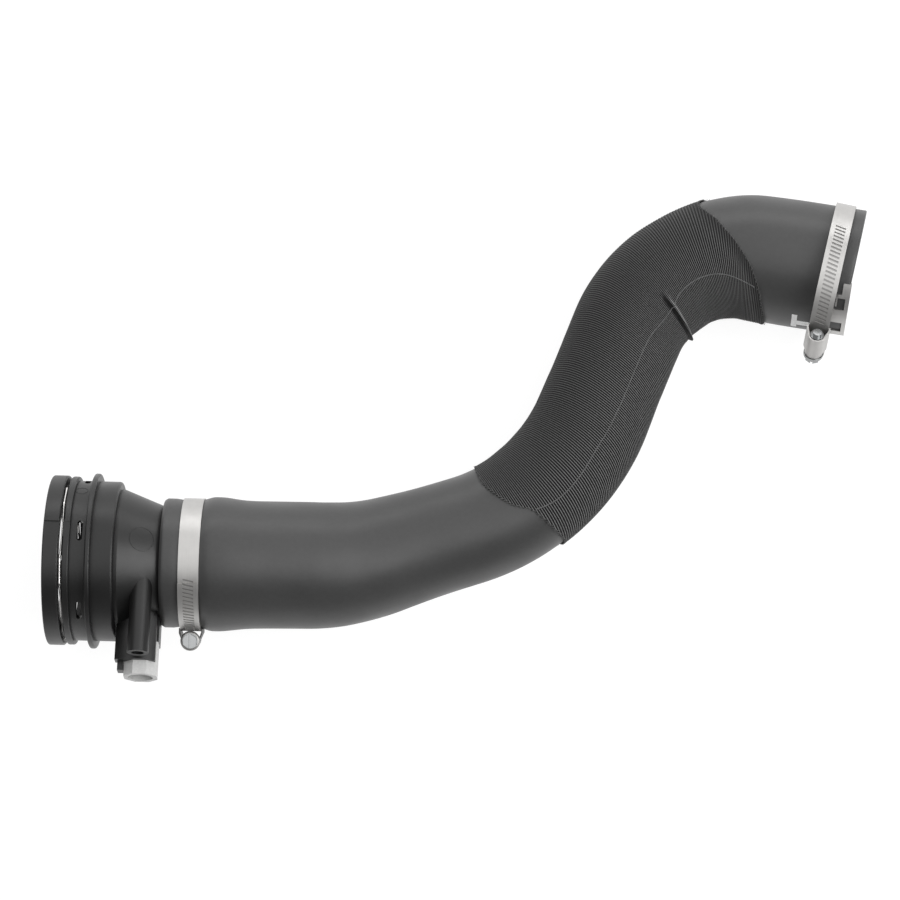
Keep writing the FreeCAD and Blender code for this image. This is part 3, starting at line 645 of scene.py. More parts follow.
@dataclass
class MouldedHose:
    """Rubber hose: wide at both ends, narrow along the double bend, swollen over the coupling's stub."""

    line: MouldedLine
    wide: float = 35.0
    waist: float = 30.3
    wall: float = 5.0
    profile: SmoothTrack = SmoothTrack([
        (0, 35.0), (80, 35.0), (89.4, 34.7), (96.4, 34.3), (106.9, 33.35), (119, 32.4), (130, 31.55),
        (144, 30.7), (155, 30.4), (175, 30.3), (330, 30.3), (346, 30.6), (355, 30.9), (364, 31.1),
        (372, 31.6), (380, 32.3), (389, 33.0), (397, 33.8), (405, 34.45), (414, 34.8), (426, 35.0),
        (470, 35.0),
    ])
    band_middle: float = 16.1
    band_width: float = 11.2
    swell: float = 1.9
    swell_place: float = 30.0
    swell_fade: float = 11.5
    collar_swell: float = 0.5
    end_chamfer: tuple[float, float] = (1.6, 0.8)
    end_lean: float = 3.0
    lean_clock: float = 20.0
    lean_reach: float = 28.0
    lip: float = 0.7
    uneven: float = 0.10
    uneven_size: float = 22.0
    step: float = 1.6
    sides: int = 128

    def moulded(self, distance: float) -> float:
        """Outside radius as moulded.

        Args:
            distance: Distance along the line.

        Returns:
            The radius in millimetres.
        """
        return self.profile.at(distance)

    def outside(self, distance: float) -> float:
        """Outside radius as fitted on the stub under its clamp.

        Args:
            distance: Distance along the line.

        Returns:
            The radius in millimetres.
        """
        edge = self.band_middle + self.band_width / 2
        over_bead = hump(max(distance - self.swell_place, 0.0), self.swell_fade)
        rise = eased((distance - edge + 2.2) / (self.swell_place - edge)) if distance > edge + 0.1 else 0.0
        collar = eased((edge - self.band_width - 0.4 - distance) / 4.0)
        return self.moulded(distance) + self.swell * over_bead * rise + self.collar_swell * collar

    def rows(self) -> list[tuple[float, float]]:
        """Section down the outside, round the open lip, up the inside and round the other lip.

        Returns:
            Distances and radii in millimetres.
        """
        length = self.line.length
        run, drop = self.end_chamfer
        start = self.outside(run)
        count = int((length - run - self.lip) / self.step)
        rows = [(0.0, start - drop - 0.3), (0.25, start - drop), (run - 0.3, start - 0.2)]
        for index in range(count + 1):
            distance = run + (length - run - self.lip) * index / count
            rows.append((distance, self.outside(distance)))
        rows += [(length - 0.2, self.wide - 0.2), (length, self.wide - self.lip)]
        inner = self.wide - self.wall
        rows += [(length, inner + self.lip), (length - 0.2, inner + 0.2)]
        inner_count = int(length / (3 * self.step))
        for index in range(inner_count + 1):
            distance = (length - self.lip) * (1 - index / inner_count)
            rows.append((distance, self.moulded(distance) - self.wall))
        return rows

    def skin(self, distance: float, clock: float, radius: float) -> Vector:
        """A point at a radius from the line, on the slightly uneven skin and towards the leaning end.

        Args:
            distance: Distance along the line.
            clock: Clock angle in radians.
            radius: Radius in millimetres.

        Returns:
            The point in millimetres.
        """
        station = self.line.at(distance)
        out = station.out(clock)
        uneven = self.uneven * noise.noise((station.point + out * radius) / self.uneven_size)
        near_end = eased((distance - self.line.length + self.lean_reach) / self.lean_reach)
        side = math.sin(math.radians(self.lean_clock)) - math.sin(clock)
        lean = math.tan(math.radians(self.end_lean)) * near_end * radius * side
        return station.point + out * (radius + uneven) + station.along * lean

    def mesh(self) -> bpy.types.Mesh:
        """Skins the section round the line.

        Returns:
            The closed mesh, in metres.
        """
        rows = self.rows()
        vertices = []
        for distance, radius in rows:
            for side in range(self.sides):
                vertices.append(self.skin(distance, 2 * math.pi * side / self.sides, radius) * MM)
        faces = []
        for row in range(len(rows)):
            here, there = row * self.sides, ((row + 1) % len(rows)) * self.sides
            for side in range(self.sides):
                beside = (side + 1) % self.sides
                faces.append((here + side, there + side, there + beside, here + beside))
        mesh = bpy.data.meshes.new("moulded_hose")
        mesh.from_pydata(vertices, [], faces)
        mesh.shade_smooth()
        mesh.flip_normals()
        return mesh

    def build(self, finish: bpy.types.Material) -> bpy.types.Object:
        """Builds the hose in place of its CAD solid.

        Args:
            finish: Finish of the rubber.

        Returns:
            The hose.
        """
        piece = new_piece("moulded_hose", self.mesh(), finish)
        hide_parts("hose")
        return piece


@dataclass(frozen=True)
class Pleat:
    """Pleat of the knit at the inner side of the upper bend: a ridge with a groove beside it, with painted
    shade in the groove and a painted highlight on the ridge.
    """

    line: SmoothTrack = SmoothTrack(
        [(3, 347.0), (14, 345.5), (29, 344.5), (50, 342.0), (88, 337.5), (130, 336.0)]
    )
    clocks: tuple[float, float] = (0.0, 135.0)
    grows: tuple[float, float] = (3.0, 22.0)
    fades: tuple[float, float] = (132.0, 30.0)
    height: float = 1.5
    depth: float = 0.55
    knot: tuple[float, float, float] = (0.5, 90.0, 14.0)
    ridge: tuple[float, float] = (1.0, 1.2)
    groove: tuple[float, float] = (-1.3, 1.1)
    # Strength, place and width of the painted shade in the groove beside the pleat.
    shade: tuple[float, float, float] = (0.9, -1.2, 1.0)
    # Strength, place and width of the painted highlight on the pleat's ridge.
    shine: tuple[float, float, float] = (0.8, 1.6, 0.8)

    def grown(self, clock: float) -> float:
        """How far the pleat has grown at a clock angle.

        Args:
            clock: Clock angle in degrees.

        Returns:
            The share, from 0 to 1.
        """
        if not self.clocks[0] < clock < self.clocks[1]:
            return 0.0
        begin, over = self.grows
        end, under = self.fades
        return eased((clock - begin) / over) * eased((end - clock) / under)

    def rise(self, distance: float, clock: float) -> float:
        """Height of the pleat over the knit.

        Args:
            distance: Distance along the line.
            clock: Clock angle in degrees.

        Returns:
            The height in millimetres, below 0 in the groove.
        """
        off = distance - self.line.at(clock)
        gain, middle, width = self.knot
        knot = 1 + gain * hump(clock - middle, width)
        ridge = self.height * knot * hump(off - self.ridge[0], self.ridge[1])
        groove = self.depth * hump(off - self.groove[0], self.groove[1])
        return self.grown(clock) * (ridge - groove)

    def marked(self, distance: float, clock: float, mark: tuple[float, float, float]) -> float:
        """Strength of a painted shade line or painted highlight line along the pleat, as the mark gives.

        Args:
            distance: Distance along the line.
            clock: Clock angle in degrees.
            mark: Strength of the line, its place from the pleat's line, and its width.

        Returns:
            The strength, from 0 to 1.
        """
        strength, place, width = mark
        return strength * self.grown(clock) * hump(distance - self.line.at(clock) - place, width)

    def crease_shade(self, distance: float, clock: float) -> float:
        """Strength of the painted shade in the groove beside the pleat, from 0 to 1."""
        return self.marked(distance, clock, self.shade)

    def sheen(self, distance: float, clock: float) -> float:
        """Strength of the painted highlight on the crest of the pleat, from 0 to 1."""
        return self.marked(distance, clock, self.shine)


@dataclass
class KnitSleeve:
    """Ribbed knit sleeve, pulled over the double bend: ribs run round it, with a seam along its front."""

    hose: MouldedHose
    lift: float = 0.5
    rib_pitch: float = 1.19
    rib_height: float = 0.60
    rib_samples: int = 4
    sides: int = 96
    pleat: Pleat = Pleat()
    hem_width: float = 7.0
    hem_rib: float = 0.70
    hem_share: float = 0.6
    shown_rib: float = 0.92
    flat_rib: float = 0.78
    flat_share: float = 0.55
    seam_radius: float = 0.26
    seam_step: float = 0.9
    edge_radius: float = 0.20
    edge_turns: int = 104
    edge_samples: int = 8
    fray_radius: float = 0.07
    fray_count: int = 150
    seeds: tuple[int, int] = (7, 11)
    low_edge: SmoothTrack = SmoothTrack(
        [(-85, 190.0), (-42, 188.5), (-7, 197.0), (10, 205.0), (45, 209.0), (86, 209.5), (180, 201.0)], 360
    )
    high_edge: SmoothTrack = SmoothTrack(
        [(-73, 381.5), (-28, 389.5), (-5, 397.5), (19, 407.0), (42, 413.0), (84, 416.0), (180, 399.0)], 360
    )
    seam_clock: SmoothTrack = SmoothTrack([
        (206.5, 11), (218, 17), (232, 18), (250.5, 16), (266, 18), (283, 20), (300.5, 20), (316.5, 21),
        (333, 25), (345.5, 23), (353.5, 17), (367, 14), (378, 15), (387, 18), (398.5, 25), (408.5, 31),
    ])
    fullness: SmoothTrack = SmoothTrack([
        (186, 0.0), (200, 0.05), (212, 0.40), (262, 0.40), (276, 0.20), (288, -0.15), (303, -0.10),
        (318, 0.0), (334, 0.15), (350, 0.30), (366, 0.10), (390, 0.05), (420, 0.05),
    ])
    lean: SmoothTrack = SmoothTrack([
        (150, 3.0), (205, 4.0), (235, 9.0), (265, 11.4), (300, 11.4), (325, 8.0), (350, 3.0), (375, 0.0),
        (440, 0.0),
    ])
    skew: SmoothTrack = SmoothTrack([
        (150, 0.0), (205, 0.5), (235, 5.0), (265, 8.3), (300, 8.3), (325, 5.0), (350, 1.0), (375, 0.0),
        (440, 0.0),
    ])
    ease: float = 6.0

    def laid(self, course: float, clock: float) -> float:
        """Distance along the line at which a course of the knit lies, which leans over on the straight run.

        Args:
            course: Place of the course along the knit.
            clock: Clock angle in degrees.

        Returns:
            The distance in millimetres.
        """
        turn = math.radians(clock)
        return course + self.lean.at(course) * math.cos(turn) - self.skew.at(course) * math.sin(turn)

    def course(self, distance: float, clock: float) -> float:
        """The course of the knit that lies at a distance along the line.

        Args:
            distance: Distance along the line.
            clock: Clock angle in degrees.

        Returns:
            Place of the course along the knit.
        """
        course = distance
        for _ in range(6):
            course += distance - self.laid(course, clock)
        return course

    def slack(self, distance: float, clock: float) -> float:
        """Unevenness of the stretched knit, larger where the bends gather it.

        Args:
            distance: Distance along the line.
            clock: Clock angle in degrees.

        Returns:
            Height in millimetres.
        """
        place = Vector((distance / 9.0, math.radians(clock) * 2.4, 0.0))
        gathered = 0.10 + 0.22 * hump(distance - 350, 40) * eased((clock - 20) / 70)
        return gathered * (0.5 + noise.noise(place))

    def rib(self, distance: float, clock: float) -> float:
        """Height of the ribs from 0 in a groove to 1 on a crest."""
        phase = self.course(distance, clock) / self.rib_pitch
        return self.flattened(abs(math.sin(math.pi * phase)) ** 1.1, clock)

    def flattened(self, rib: float, clock: float) -> float:
        """A rib's height where the stretched side of the knit has it flatter, which also makes the painted
        groove shade and crest highlight fainter there.
        """
        stretched = eased((25.0 - clock) / 70.0) * eased((clock + 175.0) / 70.0)
        return rib + (self.flat_rib - rib) * self.flat_share * stretched

    def station(self, distance: float) -> Station:
        """A place on the line where the knit eases the change between runs and bends.

        Args:
            distance: Distance along the line.

        Returns:
            The place, with its directions.
        """
        here = self.hose.line.at(distance)
        before = self.hose.line.at(distance - self.ease)
        after = self.hose.line.at(distance + self.ease)
        return Station(here.point, (before.along + here.along + after.along).normalized())

    def hem(self, distance: float, clock: float) -> float:
        """How far a place is inside the flattened hem at the upper edge, from 0 to 1."""
        return eased(1.0 - (self.high_edge.at(clock) - distance) / self.hem_width)

    def place(self, distance: float, clock: float, extra: float = 0.0) -> Vector:
        """A point of the sleeve.

        Args:
            distance: Distance along the line.
            clock: Clock angle in degrees.
            extra: Height over the rib's groove, in millimetres.

        Returns:
            The point in millimetres.
        """
        station = self.station(distance)
        pleat = self.pleat.rise(distance, clock)
        full = self.fullness.at(distance) + self.slack(distance, clock) + pleat
        height = self.lift + extra + full
        radius = self.hose.moulded(distance) + max(height, 0.2)
        return station.point + station.out(math.radians(clock)) * radius

    def flat_knit(self) -> bmesh.types.BMesh:
        """The knit laid flat, distance by clock angle, and cut along both edges.

        Returns:
            The flat mesh.
        """
        most = max(value for _, value in self.lean.stops) + max(value for _, value in self.skew.stops)
        first = min(value for _, value in self.low_edge.stops) - most
        last = max(value for _, value in self.high_edge.stops) + most
        step = self.rib_pitch / self.rib_samples
        begin = math.floor(first / self.rib_pitch) * self.rib_pitch
        rows = int((last - begin) / step) + 1
        flat = bmesh.new()
        grid = []
        for row in range(rows):
            course = begin + row * step
            clocks = [360.0 * side / self.sides - 180.0 for side in range(self.sides + 1)]
            grid.append([flat.verts.new((self.laid(course, clock), clock, 0.0)) for clock in clocks])
        for lower, upper in zip(grid, grid[1:]):
            for side in range(self.sides):
                flat.faces.new((lower[side], lower[side + 1], upper[side + 1], upper[side]))
        self.cut(flat, self.low_edge, keep_after=True)
        self.cut(flat, self.high_edge, keep_after=False)
        return flat

    def cut(self, flat: bmesh.types.BMesh, edge: SmoothTrack, keep_after: bool) -> None:
        """Cuts the flat knit along an edge line.

        Args:
            flat: Flat knit, changed in place.
            edge: Distance of the cut at each clock angle.
            keep_after: Whether the far side of the cut is kept.
        """
        for vertex in flat.verts:
            vertex.co.x -= edge.at(vertex.co.y)
        bmesh.ops.bisect_plane(
            flat,
            geom=flat.verts[:] + flat.edges[:] + flat.faces[:],
            plane_co=(0, 0, 0),
            plane_no=(1, 0, 0),
            dist=1e-5,
            clear_inner=keep_after,
            clear_outer=not keep_after,
        )
        for vertex in flat.verts:
            vertex.co.x += edge.at(vertex.co.y)

    def mesh(self) -> bpy.types.Mesh:
        """Wraps the knit round the hose.

        Returns:
            The mesh in metres, with the rib attribute of rib height, painted shade and painted highlight,
            and the knit's lay.
        """
        flat = self.flat_knit()
        flat.verts.index_update()
        lay = flat.loops.layers.uv.new("lay")
        for face in flat.faces:
            for loop in face.loops:
                distance, clock, _ = loop.vert.co
                loop[lay].uv = (distance * MM, math.radians(clock) * self.hose.waist * MM)
        rib_painted_shading = flat.verts.layers.float.new("rib")
        for vertex in flat.verts:
            distance, clock, _ = vertex.co
            rib = self.rib(distance, clock)
            rib += (self.hem_rib - rib) * self.hem_share * self.hem(distance, clock)
            # The rib attribute also carries a painted highlight on the pleat's crest and painted shade in
            # the groove beside it.
            pale = self.pleat.sheen(distance, clock)
            shown = (rib + (1.0 - rib) * pale) * (self.shown_rib + (1.0 - self.shown_rib) * pale)
            vertex[rib_painted_shading] = shown * (1.0 - self.pleat.crease_shade(distance, clock))
            vertex.co = self.place(distance, clock, self.rib_height * rib) * MM
        bmesh.ops.remove_doubles(flat, verts=flat.verts[:], dist=1e-6)
        mesh = bpy.data.meshes.new("knit_sleeve")
        flat.to_mesh(mesh)
        flat.free()
        mesh.shade_smooth()
        return mesh

    def overlock(self, edge: SmoothTrack, outward: float) -> list[Vector]:
        """Thread wound over a cut edge.

        Args:
            edge: Distance of the edge at each clock angle.
            outward: Direction of the bare hose along the line, 1 or -1.

        Returns:
            Points of the thread in millimetres.
        """
        count = self.edge_turns * self.edge_samples
        points = []
        for index in range(count + 1):
            angle = 2 * math.pi * index / self.edge_samples
            clock = 360.0 * index / count - 180.0
            wander = 0.45 * noise.noise(Vector((clock / 5.0, outward, 3.0)))
            reach = outward * (0.50 * math.cos(angle) + wander)
            height = 0.25 + 0.25 * math.sin(angle)
            points.append(self.place(edge.at(clock) + reach, clock, height))
        return points

    def frayed(self, edge: SmoothTrack, outward: float, seed: int) -> list[list[Vector]]:
        """Short loose ends along a cut edge.

        Args:
            edge: Distance of the edge at each clock angle.
            outward: Direction of the bare hose along the line, 1 or -1.
            seed: Seed of the random places.

        Returns:
            Rows of points in millimetres.
        """
        chance = random.Random(seed)
        strands = []
        for _ in range(self.fray_count):
            clock = chance.uniform(-180, 180)
            reach = chance.uniform(0.8, 2.2)
            lean = chance.uniform(-2.5, 2.5)
            lift = chance.uniform(0.0, 0.7)
            strand = []
            for share in (0.0, 0.4, 0.75, 1.0):
                distance = edge.at(clock) + outward * (reach * share - 0.5)
                strand.append(self.place(distance, clock + lean * share * share, 0.2 + lift * share))
            strands.append(strand)
        return strands

    def seam(self) -> list[Vector]:
        """Line of the seam along the sleeve.

        Returns:
            Points of the thread in millimetres.
        """
        first, last = self.seam_clock.stops[0][0], self.seam_clock.stops[-1][0]
        count = int((last - first) / self.seam_step)
        points = []
        for index in range(count + 1):
            distance = first + (last - first) * index / count
            clock = self.seam_clock.at(distance)
            height = self.rib_height * (0.75 + 0.25 * self.rib(distance, clock))
            points.append(self.place(distance, clock, height))
        return points

    def build(self, knit: bpy.types.Material, seam: bpy.types.Material, edging: bpy.types.Material) -> None:
        """Builds the sleeve with its seam and edges.

        Args:
            knit: Finish of the knit.
            seam: Finish of the seam's thread.
            edging: Finish of the threads at the cut edges.
        """
        sleeve = new_piece("knit_sleeve", self.mesh(), knit)
        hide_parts("sleeve")
        sewn = thread_curve("seam_thread", [self.seam()], self.seam_radius)
        trims = [new_piece("seam_thread", sewn, seam)]
        ends = (("low", self.low_edge, -1.0), ("high", self.high_edge, 1.0))
        for (name, edge, outward), seed in zip(ends, self.seeds):
            wound = thread_curve(f"{name}_edge_thread", [self.overlock(edge, outward)], self.edge_radius)
            trims.append(new_piece(f"{name}_edge_thread", wound, edging))
            loose = thread_curve(f"{name}_edge_fray", self.frayed(edge, outward, seed), self.fray_radius)
            trims.append(new_piece(f"{name}_edge_fray", loose, edging))
        middle = self.high_edge.at(0) - self.low_edge.at(0)


@dataclass
class IndexMark:
    """Plain white index mark near the open end: two short painted bars."""

    hose: MouldedHose
    bars: Sequence[tuple[float, float, float, float]] = (
        (431.3, 434.3, 56.0, 81.0),
        (434.3, 442.3, 65.0, 74.0),
    )
    thickness: float = 0.06
    steps: int = 10

    def mesh(self) -> bpy.types.Mesh:
        """Lays each bar on the hose.

        Returns:
            The mesh in metres.
        """
        vertices, faces = [], []
        for near, far, first, last in self.bars:
            begin = len(vertices)
            for row in range(self.steps + 1):
                distance = near + (far - near) * row / self.steps
                radius = self.hose.outside(distance) + self.thickness
                for column in range(self.steps + 1):
                    clock = math.radians(first + (last - first) * column / self.steps)
                    vertices.append(self.hose.skin(distance, clock, radius) * MM)
            wide = self.steps + 1
            for row in range(self.steps):
                for column in range(self.steps):
                    corner = begin + row * wide + column
                    faces.append((corner, corner + 1, corner + wide + 1, corner + wide))
        mesh = bpy.data.meshes.new("index_mark")
        mesh.from_pydata(vertices, [], faces)
        mesh.shade_smooth()
        return mesh

    def build(self, finish: bpy.types.Material) -> None:
        """Paints the mark on."""
        new_piece("index_mark", self.mesh(), finish)


@dataclass
class MouldRings:
    """Fine raised rings that the mould's round inserts left on the coupling."""

    cone_start: tuple[float, float] = (15.4, 39.6)
    cone_end: tuple[float, float] = (37.3, 31.0)
    neck_radius: float = 43.9
    cone_ring: tuple[float, float, float] = (27.7, 23.5, 6.8)
    neck_ring: tuple[float, float, float] = (-6.25, 62.0, 3.2)
    thickness: float = 0.13
    steps: int = 64

    def cone(self, along: float) -> float:
        """Radius of the cone at a place along the coupling's axis."""
        share = (along - self.cone_start[0]) / (self.cone_end[0] - self.cone_start[0])
        return self.cone_start[1] + (self.cone_end[1] - self.cone_start[1]) * share

    def neck(self, along: float) -> float:
        """Radius of the neck, which is the same all along."""
        return self.neck_radius

    def ring(
        self,
        along: float,
        clock: float,
        size: float,
        radius: Callable[[float], float],
    ) -> list[Vector]:
        """One ring on the coupling's skin.

        Args:
            along: Place of its middle along the coupling's axis.
            clock: Angle of its middle in degrees, from the upper side towards +Y.
            size: Radius of the ring.
            radius: Radius of the skin at a place along the axis.

        Returns:
            Points in millimetres.
        """
        points = []
        slope = math.atan(radius(along + 1) - radius(along))
        for step in range(self.steps + 1):
            angle = 2 * math.pi * step / self.steps
            place = along + size * math.cos(angle) * math.cos(slope)
            skin = radius(place)
            turn = math.radians(clock) + size * math.sin(angle) / skin
            points.append(Vector((place, skin * math.sin(turn), skin * math.cos(turn))))
        return points

    def build(self, finish: bpy.types.Material) -> None:
        """Raises the rings on the cone and the neck.

        Args:
            finish: Finish of the rings.
        """
        rings = [self.ring(*self.cone_ring, self.cone), self.ring(*self.neck_ring, self.neck)]
        raised = thread_curve("mould_rings", rings, self.thickness)
        new_piece("mould_rings", raised, finish)


@dataclass(frozen=True)
class PressedBand:
    """Floors of the thread grooves that are pressed into a clamp's band."""

    name: str
    screw: Vector
    along: Vector
    clock: float
    inner: float
    tail: float
    last: float
    first: float = 11.0
    screw_line: float = 6.85
    thickness: float = 0.7
    layer_gap: float = 0.5
    depth: float = 0.45
    width: float = 6.4
    step: float = 1.5

    @property
    def middle(self) -> Station:
        """The band's middle.

        Returns:
            The place, with the band's axis as its direction.
        """
        across = Station(self.screw, self.along)
        arm = across.out(math.radians(self.clock)) * (self.inner + self.screw_line)
        return Station(self.screw - arm, self.along)

    def strip(self, radius: float, first: float, last: float) -> list[tuple[Vector, Vector]]:
        """One curved floor.

        Args:
            radius: Radius of the floor.
            first: Angle from the screw where it begins, in degrees.
            last: Angle from the screw where it ends, in degrees.

        Returns:
            Pairs of points across the floor, in millimetres.
        """
        middle = self.middle
        count = max(int((last - first) / self.step), 1)
        half = self.along * (self.width / 2)
        pairs = []
        for index in range(count + 1):
            angle = self.clock - first - (last - first) * index / count
            point = middle.point + middle.out(math.radians(angle)) * radius
            pairs.append((point - half, point + half))
        return pairs

    def build(self, finish: bpy.types.Material) -> None:
        """Lays the floors inside the sheet of the band's tail and of its first turn.

        Args:
            finish: Finish of the floors.
        """
        outer = self.inner + self.thickness
        over = outer + self.layer_gap + self.thickness
        strips = [self.strip(over - self.depth, self.first, self.tail - 0.5)]
        if self.last > self.tail:
            strips.append(self.strip(outer - self.depth, self.tail - 1.0, self.last))
        vertices, faces = [], []
        for pairs in strips:
            begin = len(vertices)
            vertices += [point * MM for pair in pairs for point in pair]
            for row in range(len(pairs) - 1):
                near = begin + 2 * row
                faces.append((near, near + 1, near + 3, near + 2))
        mesh = bpy.data.meshes.new(self.name)
        mesh.from_pydata(vertices, [], faces)
        mesh.shade_smooth()
        new_piece(self.name, mesh, finish)


@dataclass
class WormThread:
    """Rolled thread on the core of a clamp's screw."""

    name: str
    body: str
    centre: Vector
    axis: Vector
    core: float = 3.7
    ridge: float = 0.28
    pitch: float = 2.4
    half_length: float = 6.0
    samples: int = 24

    def helix(self) -> list[Vector]:
        """Line of the thread's ridge.

        Returns:
            Points in millimetres.
        """
        side = self.axis.orthogonal().normalized()
        over = self.axis.cross(side)
        count = int(2 * self.half_length / self.pitch * self.samples)
        points = []
        for index in range(count + 1):
            along = self.half_length * (2 * index / count - 1)
            turn = 2 * math.pi * along / self.pitch
            out = side * math.cos(turn) + over * math.sin(turn)
            points.append(self.centre + self.axis * along + out * self.core)
        return points

    def build(self, finish: bpy.types.Material) -> None:
        """Rolls the thread onto the screw.

        Args:
            finish: Finish of the thread.
        """
        ridge = thread_curve(self.name, [self.helix()], self.ridge)
        new_piece(self.name, ridge, finish, self.body)


@dataclass
class BoltCollar:
    """Domed collar between the flange and the hexagon of a clamp's screw."""

    name: str
    body: str
    centre: Vector
    axis: Vector
    seat: float = 8.67
    outer: float = 5.40
    inner: float = 4.25
    rise: float = 1.3
    sides: int = 48
    steps: int = 6

    def section(self) -> list[tuple[float, float]]:
        """Closed section of the collar.

        Returns:
            Radii, and places along the screw's axis, in millimetres.
        """
        points = [(self.inner, self.seat)]
        for step in range(self.steps + 1):
            turn = math.pi / 2 * step / self.steps
            radius = self.inner + (self.outer - self.inner) * math.cos(turn)
            points.append((radius, self.seat + self.rise * math.sin(turn)))
        return points

    def build(self, finish: bpy.types.Material) -> None:
        """Turns the collar round the screw's axis.

        Args:
            finish: Finish of the collar.
        """
        side = self.axis.orthogonal().normalized()
        over = self.axis.cross(side)
        section = self.section()
        form = bmesh.new()
        rings = []
        for index in range(self.sides):
            turn = 2 * math.pi * index / self.sides
            out = side * math.cos(turn) + over * math.sin(turn)
            ring = [self.centre + out * radius + self.axis * along for radius, along in section]
            rings.append([form.verts.new(point * MM) for point in ring])
        for ring, following in zip(rings, rings[1:] + rings[:1]):
            for place in range(len(section)):
                back = place - 1
                form.faces.new((ring[back], ring[place], following[place], following[back]))
        bmesh.ops.recalc_face_normals(form, faces=form.faces[:])
        mesh = bpy.data.meshes.new(self.name)
        form.to_mesh(mesh)
        form.free()
        mesh.shade_smooth()
        mesh.set_sharp_from_angle(angle=math.radians(40))
        new_piece(self.name, mesh, finish, self.body)


@dataclass(frozen=True)
class WormClamp:
    """One worm clamp: where it sits, and what is added to its CAD pieces."""

    side: str
    place: tuple[float, float, float]
    band_axis: tuple[float, float, float]
    screw_axis: tuple[float, float, float]
    clock: float
    inner: float
    tail: float
    last: float
    collar_gain: float
    groove_shade_gain: float = 0.6

    def build(self) -> None:
        """Adds the screw's thread and collar, and the floors of the band's grooves."""
        body, place, axis = f"{self.side}_screw", Vector(self.place), Vector(self.screw_axis)
        thread = WormThread(f"{self.side}_worm_thread", body, place, axis)
        thread.build(RolledSteel(f"{self.side}_thread_steel", self.screw_axis).material())
        collar = BoltCollar(f"{self.side}_bolt_collar", body, place, axis)
        turned = RolledSteel(f"{self.side}_collar_steel", self.screw_axis, gain=self.collar_gain)
        collar.build(turned.material())
        angles = (self.clock, self.inner, self.tail, self.last)
        floor = PressedBand(f"{self.side}_groove_floor", place, Vector(self.band_axis), *angles)
        # The groove floors get darker steel as painted shade inside the pressed grooves.
        pressed = RolledSteel(f"{self.side}_groove_shaded_steel", self.band_axis, gain=self.groove_shade_gain)
        floor.build(pressed.material())


LEFT_CLAMP = WormClamp(
    side="left",
    place=(53.6, -42.05, 0.0),
    band_axis=(1.0, 0.0, 0.0),
    screw_axis=(0.0, 0.0, 1.0),
    clock=90.0,
    inner=35.2,
    tail=75.0,
    last=80.0,
    collar_gain=0.72,
)
RIGHT_CLAMP = WormClamp(
    side="right",
    place=(389.472, 129.004, 23.943),
    band_axis=(0.97444, -0.19014, 0.11966),
    screw_axis=(-0.02536, -0.62232, -0.78235),
    clock=52.0,
    inner=41.5,
    tail=52.0,
    last=93.0,
    collar_gain=0.6,
)


@dataclass
class CadFinishes:
    """Finishes of the pieces whose CAD shape is shown."""

    left: WormClamp = LEFT_CLAMP
    right: WormClamp = RIGHT_CLAMP
    cool: tuple[float, float, float] = (0.97, 0.99, 1.0)
    polish: tuple[float, float] = (0.14, 0.24)
    drawn: tuple[float, float] = (0.16, 0.26)

    def dress(self) -> None:
        """Gives each shown CAD node its finish."""
        plastic = SatinPlastic("coupling_plastic", Grey.PLASTIC).material()
        left, right = self.left, self.right
        left_steel = RolledSteel("left_band_steel", left.band_axis)
        right_steel = RolledSteel("right_band_steel", right.band_axis).material()
        # The left housing's steel is darkened as painted shade beside the screw head.
        left_case_shaded = RolledSteel("left_housing_shaded_steel", left.band_axis, gain=0.22)
        left_bolt = RolledSteel("left_screw_steel", left.screw_axis, self.cool, self.polish, gain=0.8)
        right_bolt = RolledSteel("right_screw_steel", right.screw_axis, self.cool, self.polish, gain=0.65)
        wire = RolledSteel("spring_wire", left.band_axis, roughness=self.drawn, gain=1.8)
        finishes = {
            "coupling_body": plastic,
            "coupling_seal": MouldedRubber("seal_rubber", Grey.YARN, (0.35, 0.45), 0.3).material(),
            "retaining_spring": wire.material(),
            "sensor_port_plug": SatinPlastic("plug_plastic", Grey.PLUG, (1.0, 1.0, 0.99)).material(),
            "left_clamp_band": left_steel.material(),
            "left_clamp_housing": left_case_shaded.material(),
            "left_clamp_screw": left_bolt.material(),
            "right_clamp_band": right_steel,
            "right_clamp_housing": right_steel,
            "right_clamp_clip": right_steel,
            "right_clamp_screw": right_bolt.material(),
        }
        for name, finish in finishes.items():
            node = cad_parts[name]
            node.data.materials.clear()
            node.data.materials.append(finish)
            LOG.info("dressed %s", name)


@dataclass(frozen=True)
class SoftBox:
    """A soft box over the table: its place from the middle, size and power, in metres and watts."""

    name: str
    place: tuple[float, float, float]
    size: tuple[float, float]
    power: float

    def hang(self, middle: Vector) -> None:
        """Hangs the soft box so that it faces the middle.

        Args:
            middle: Point on the table below the camera.
        """
        light = bpy.data.lights.new(self.name, "AREA")
        light.shape = "RECTANGLE"
        light.size, light.size_y = self.size
        light.energy = self.power
        lamp = bpy.data.objects.new(self.name, light)
        lamp.location = middle + Vector(self.place)
        aim = middle - lamp.location
        lamp.rotation_euler = aim.to_track_quat("-Z", "Y").to_euler()
        bpy.context.scene.collection.objects.link(lamp)


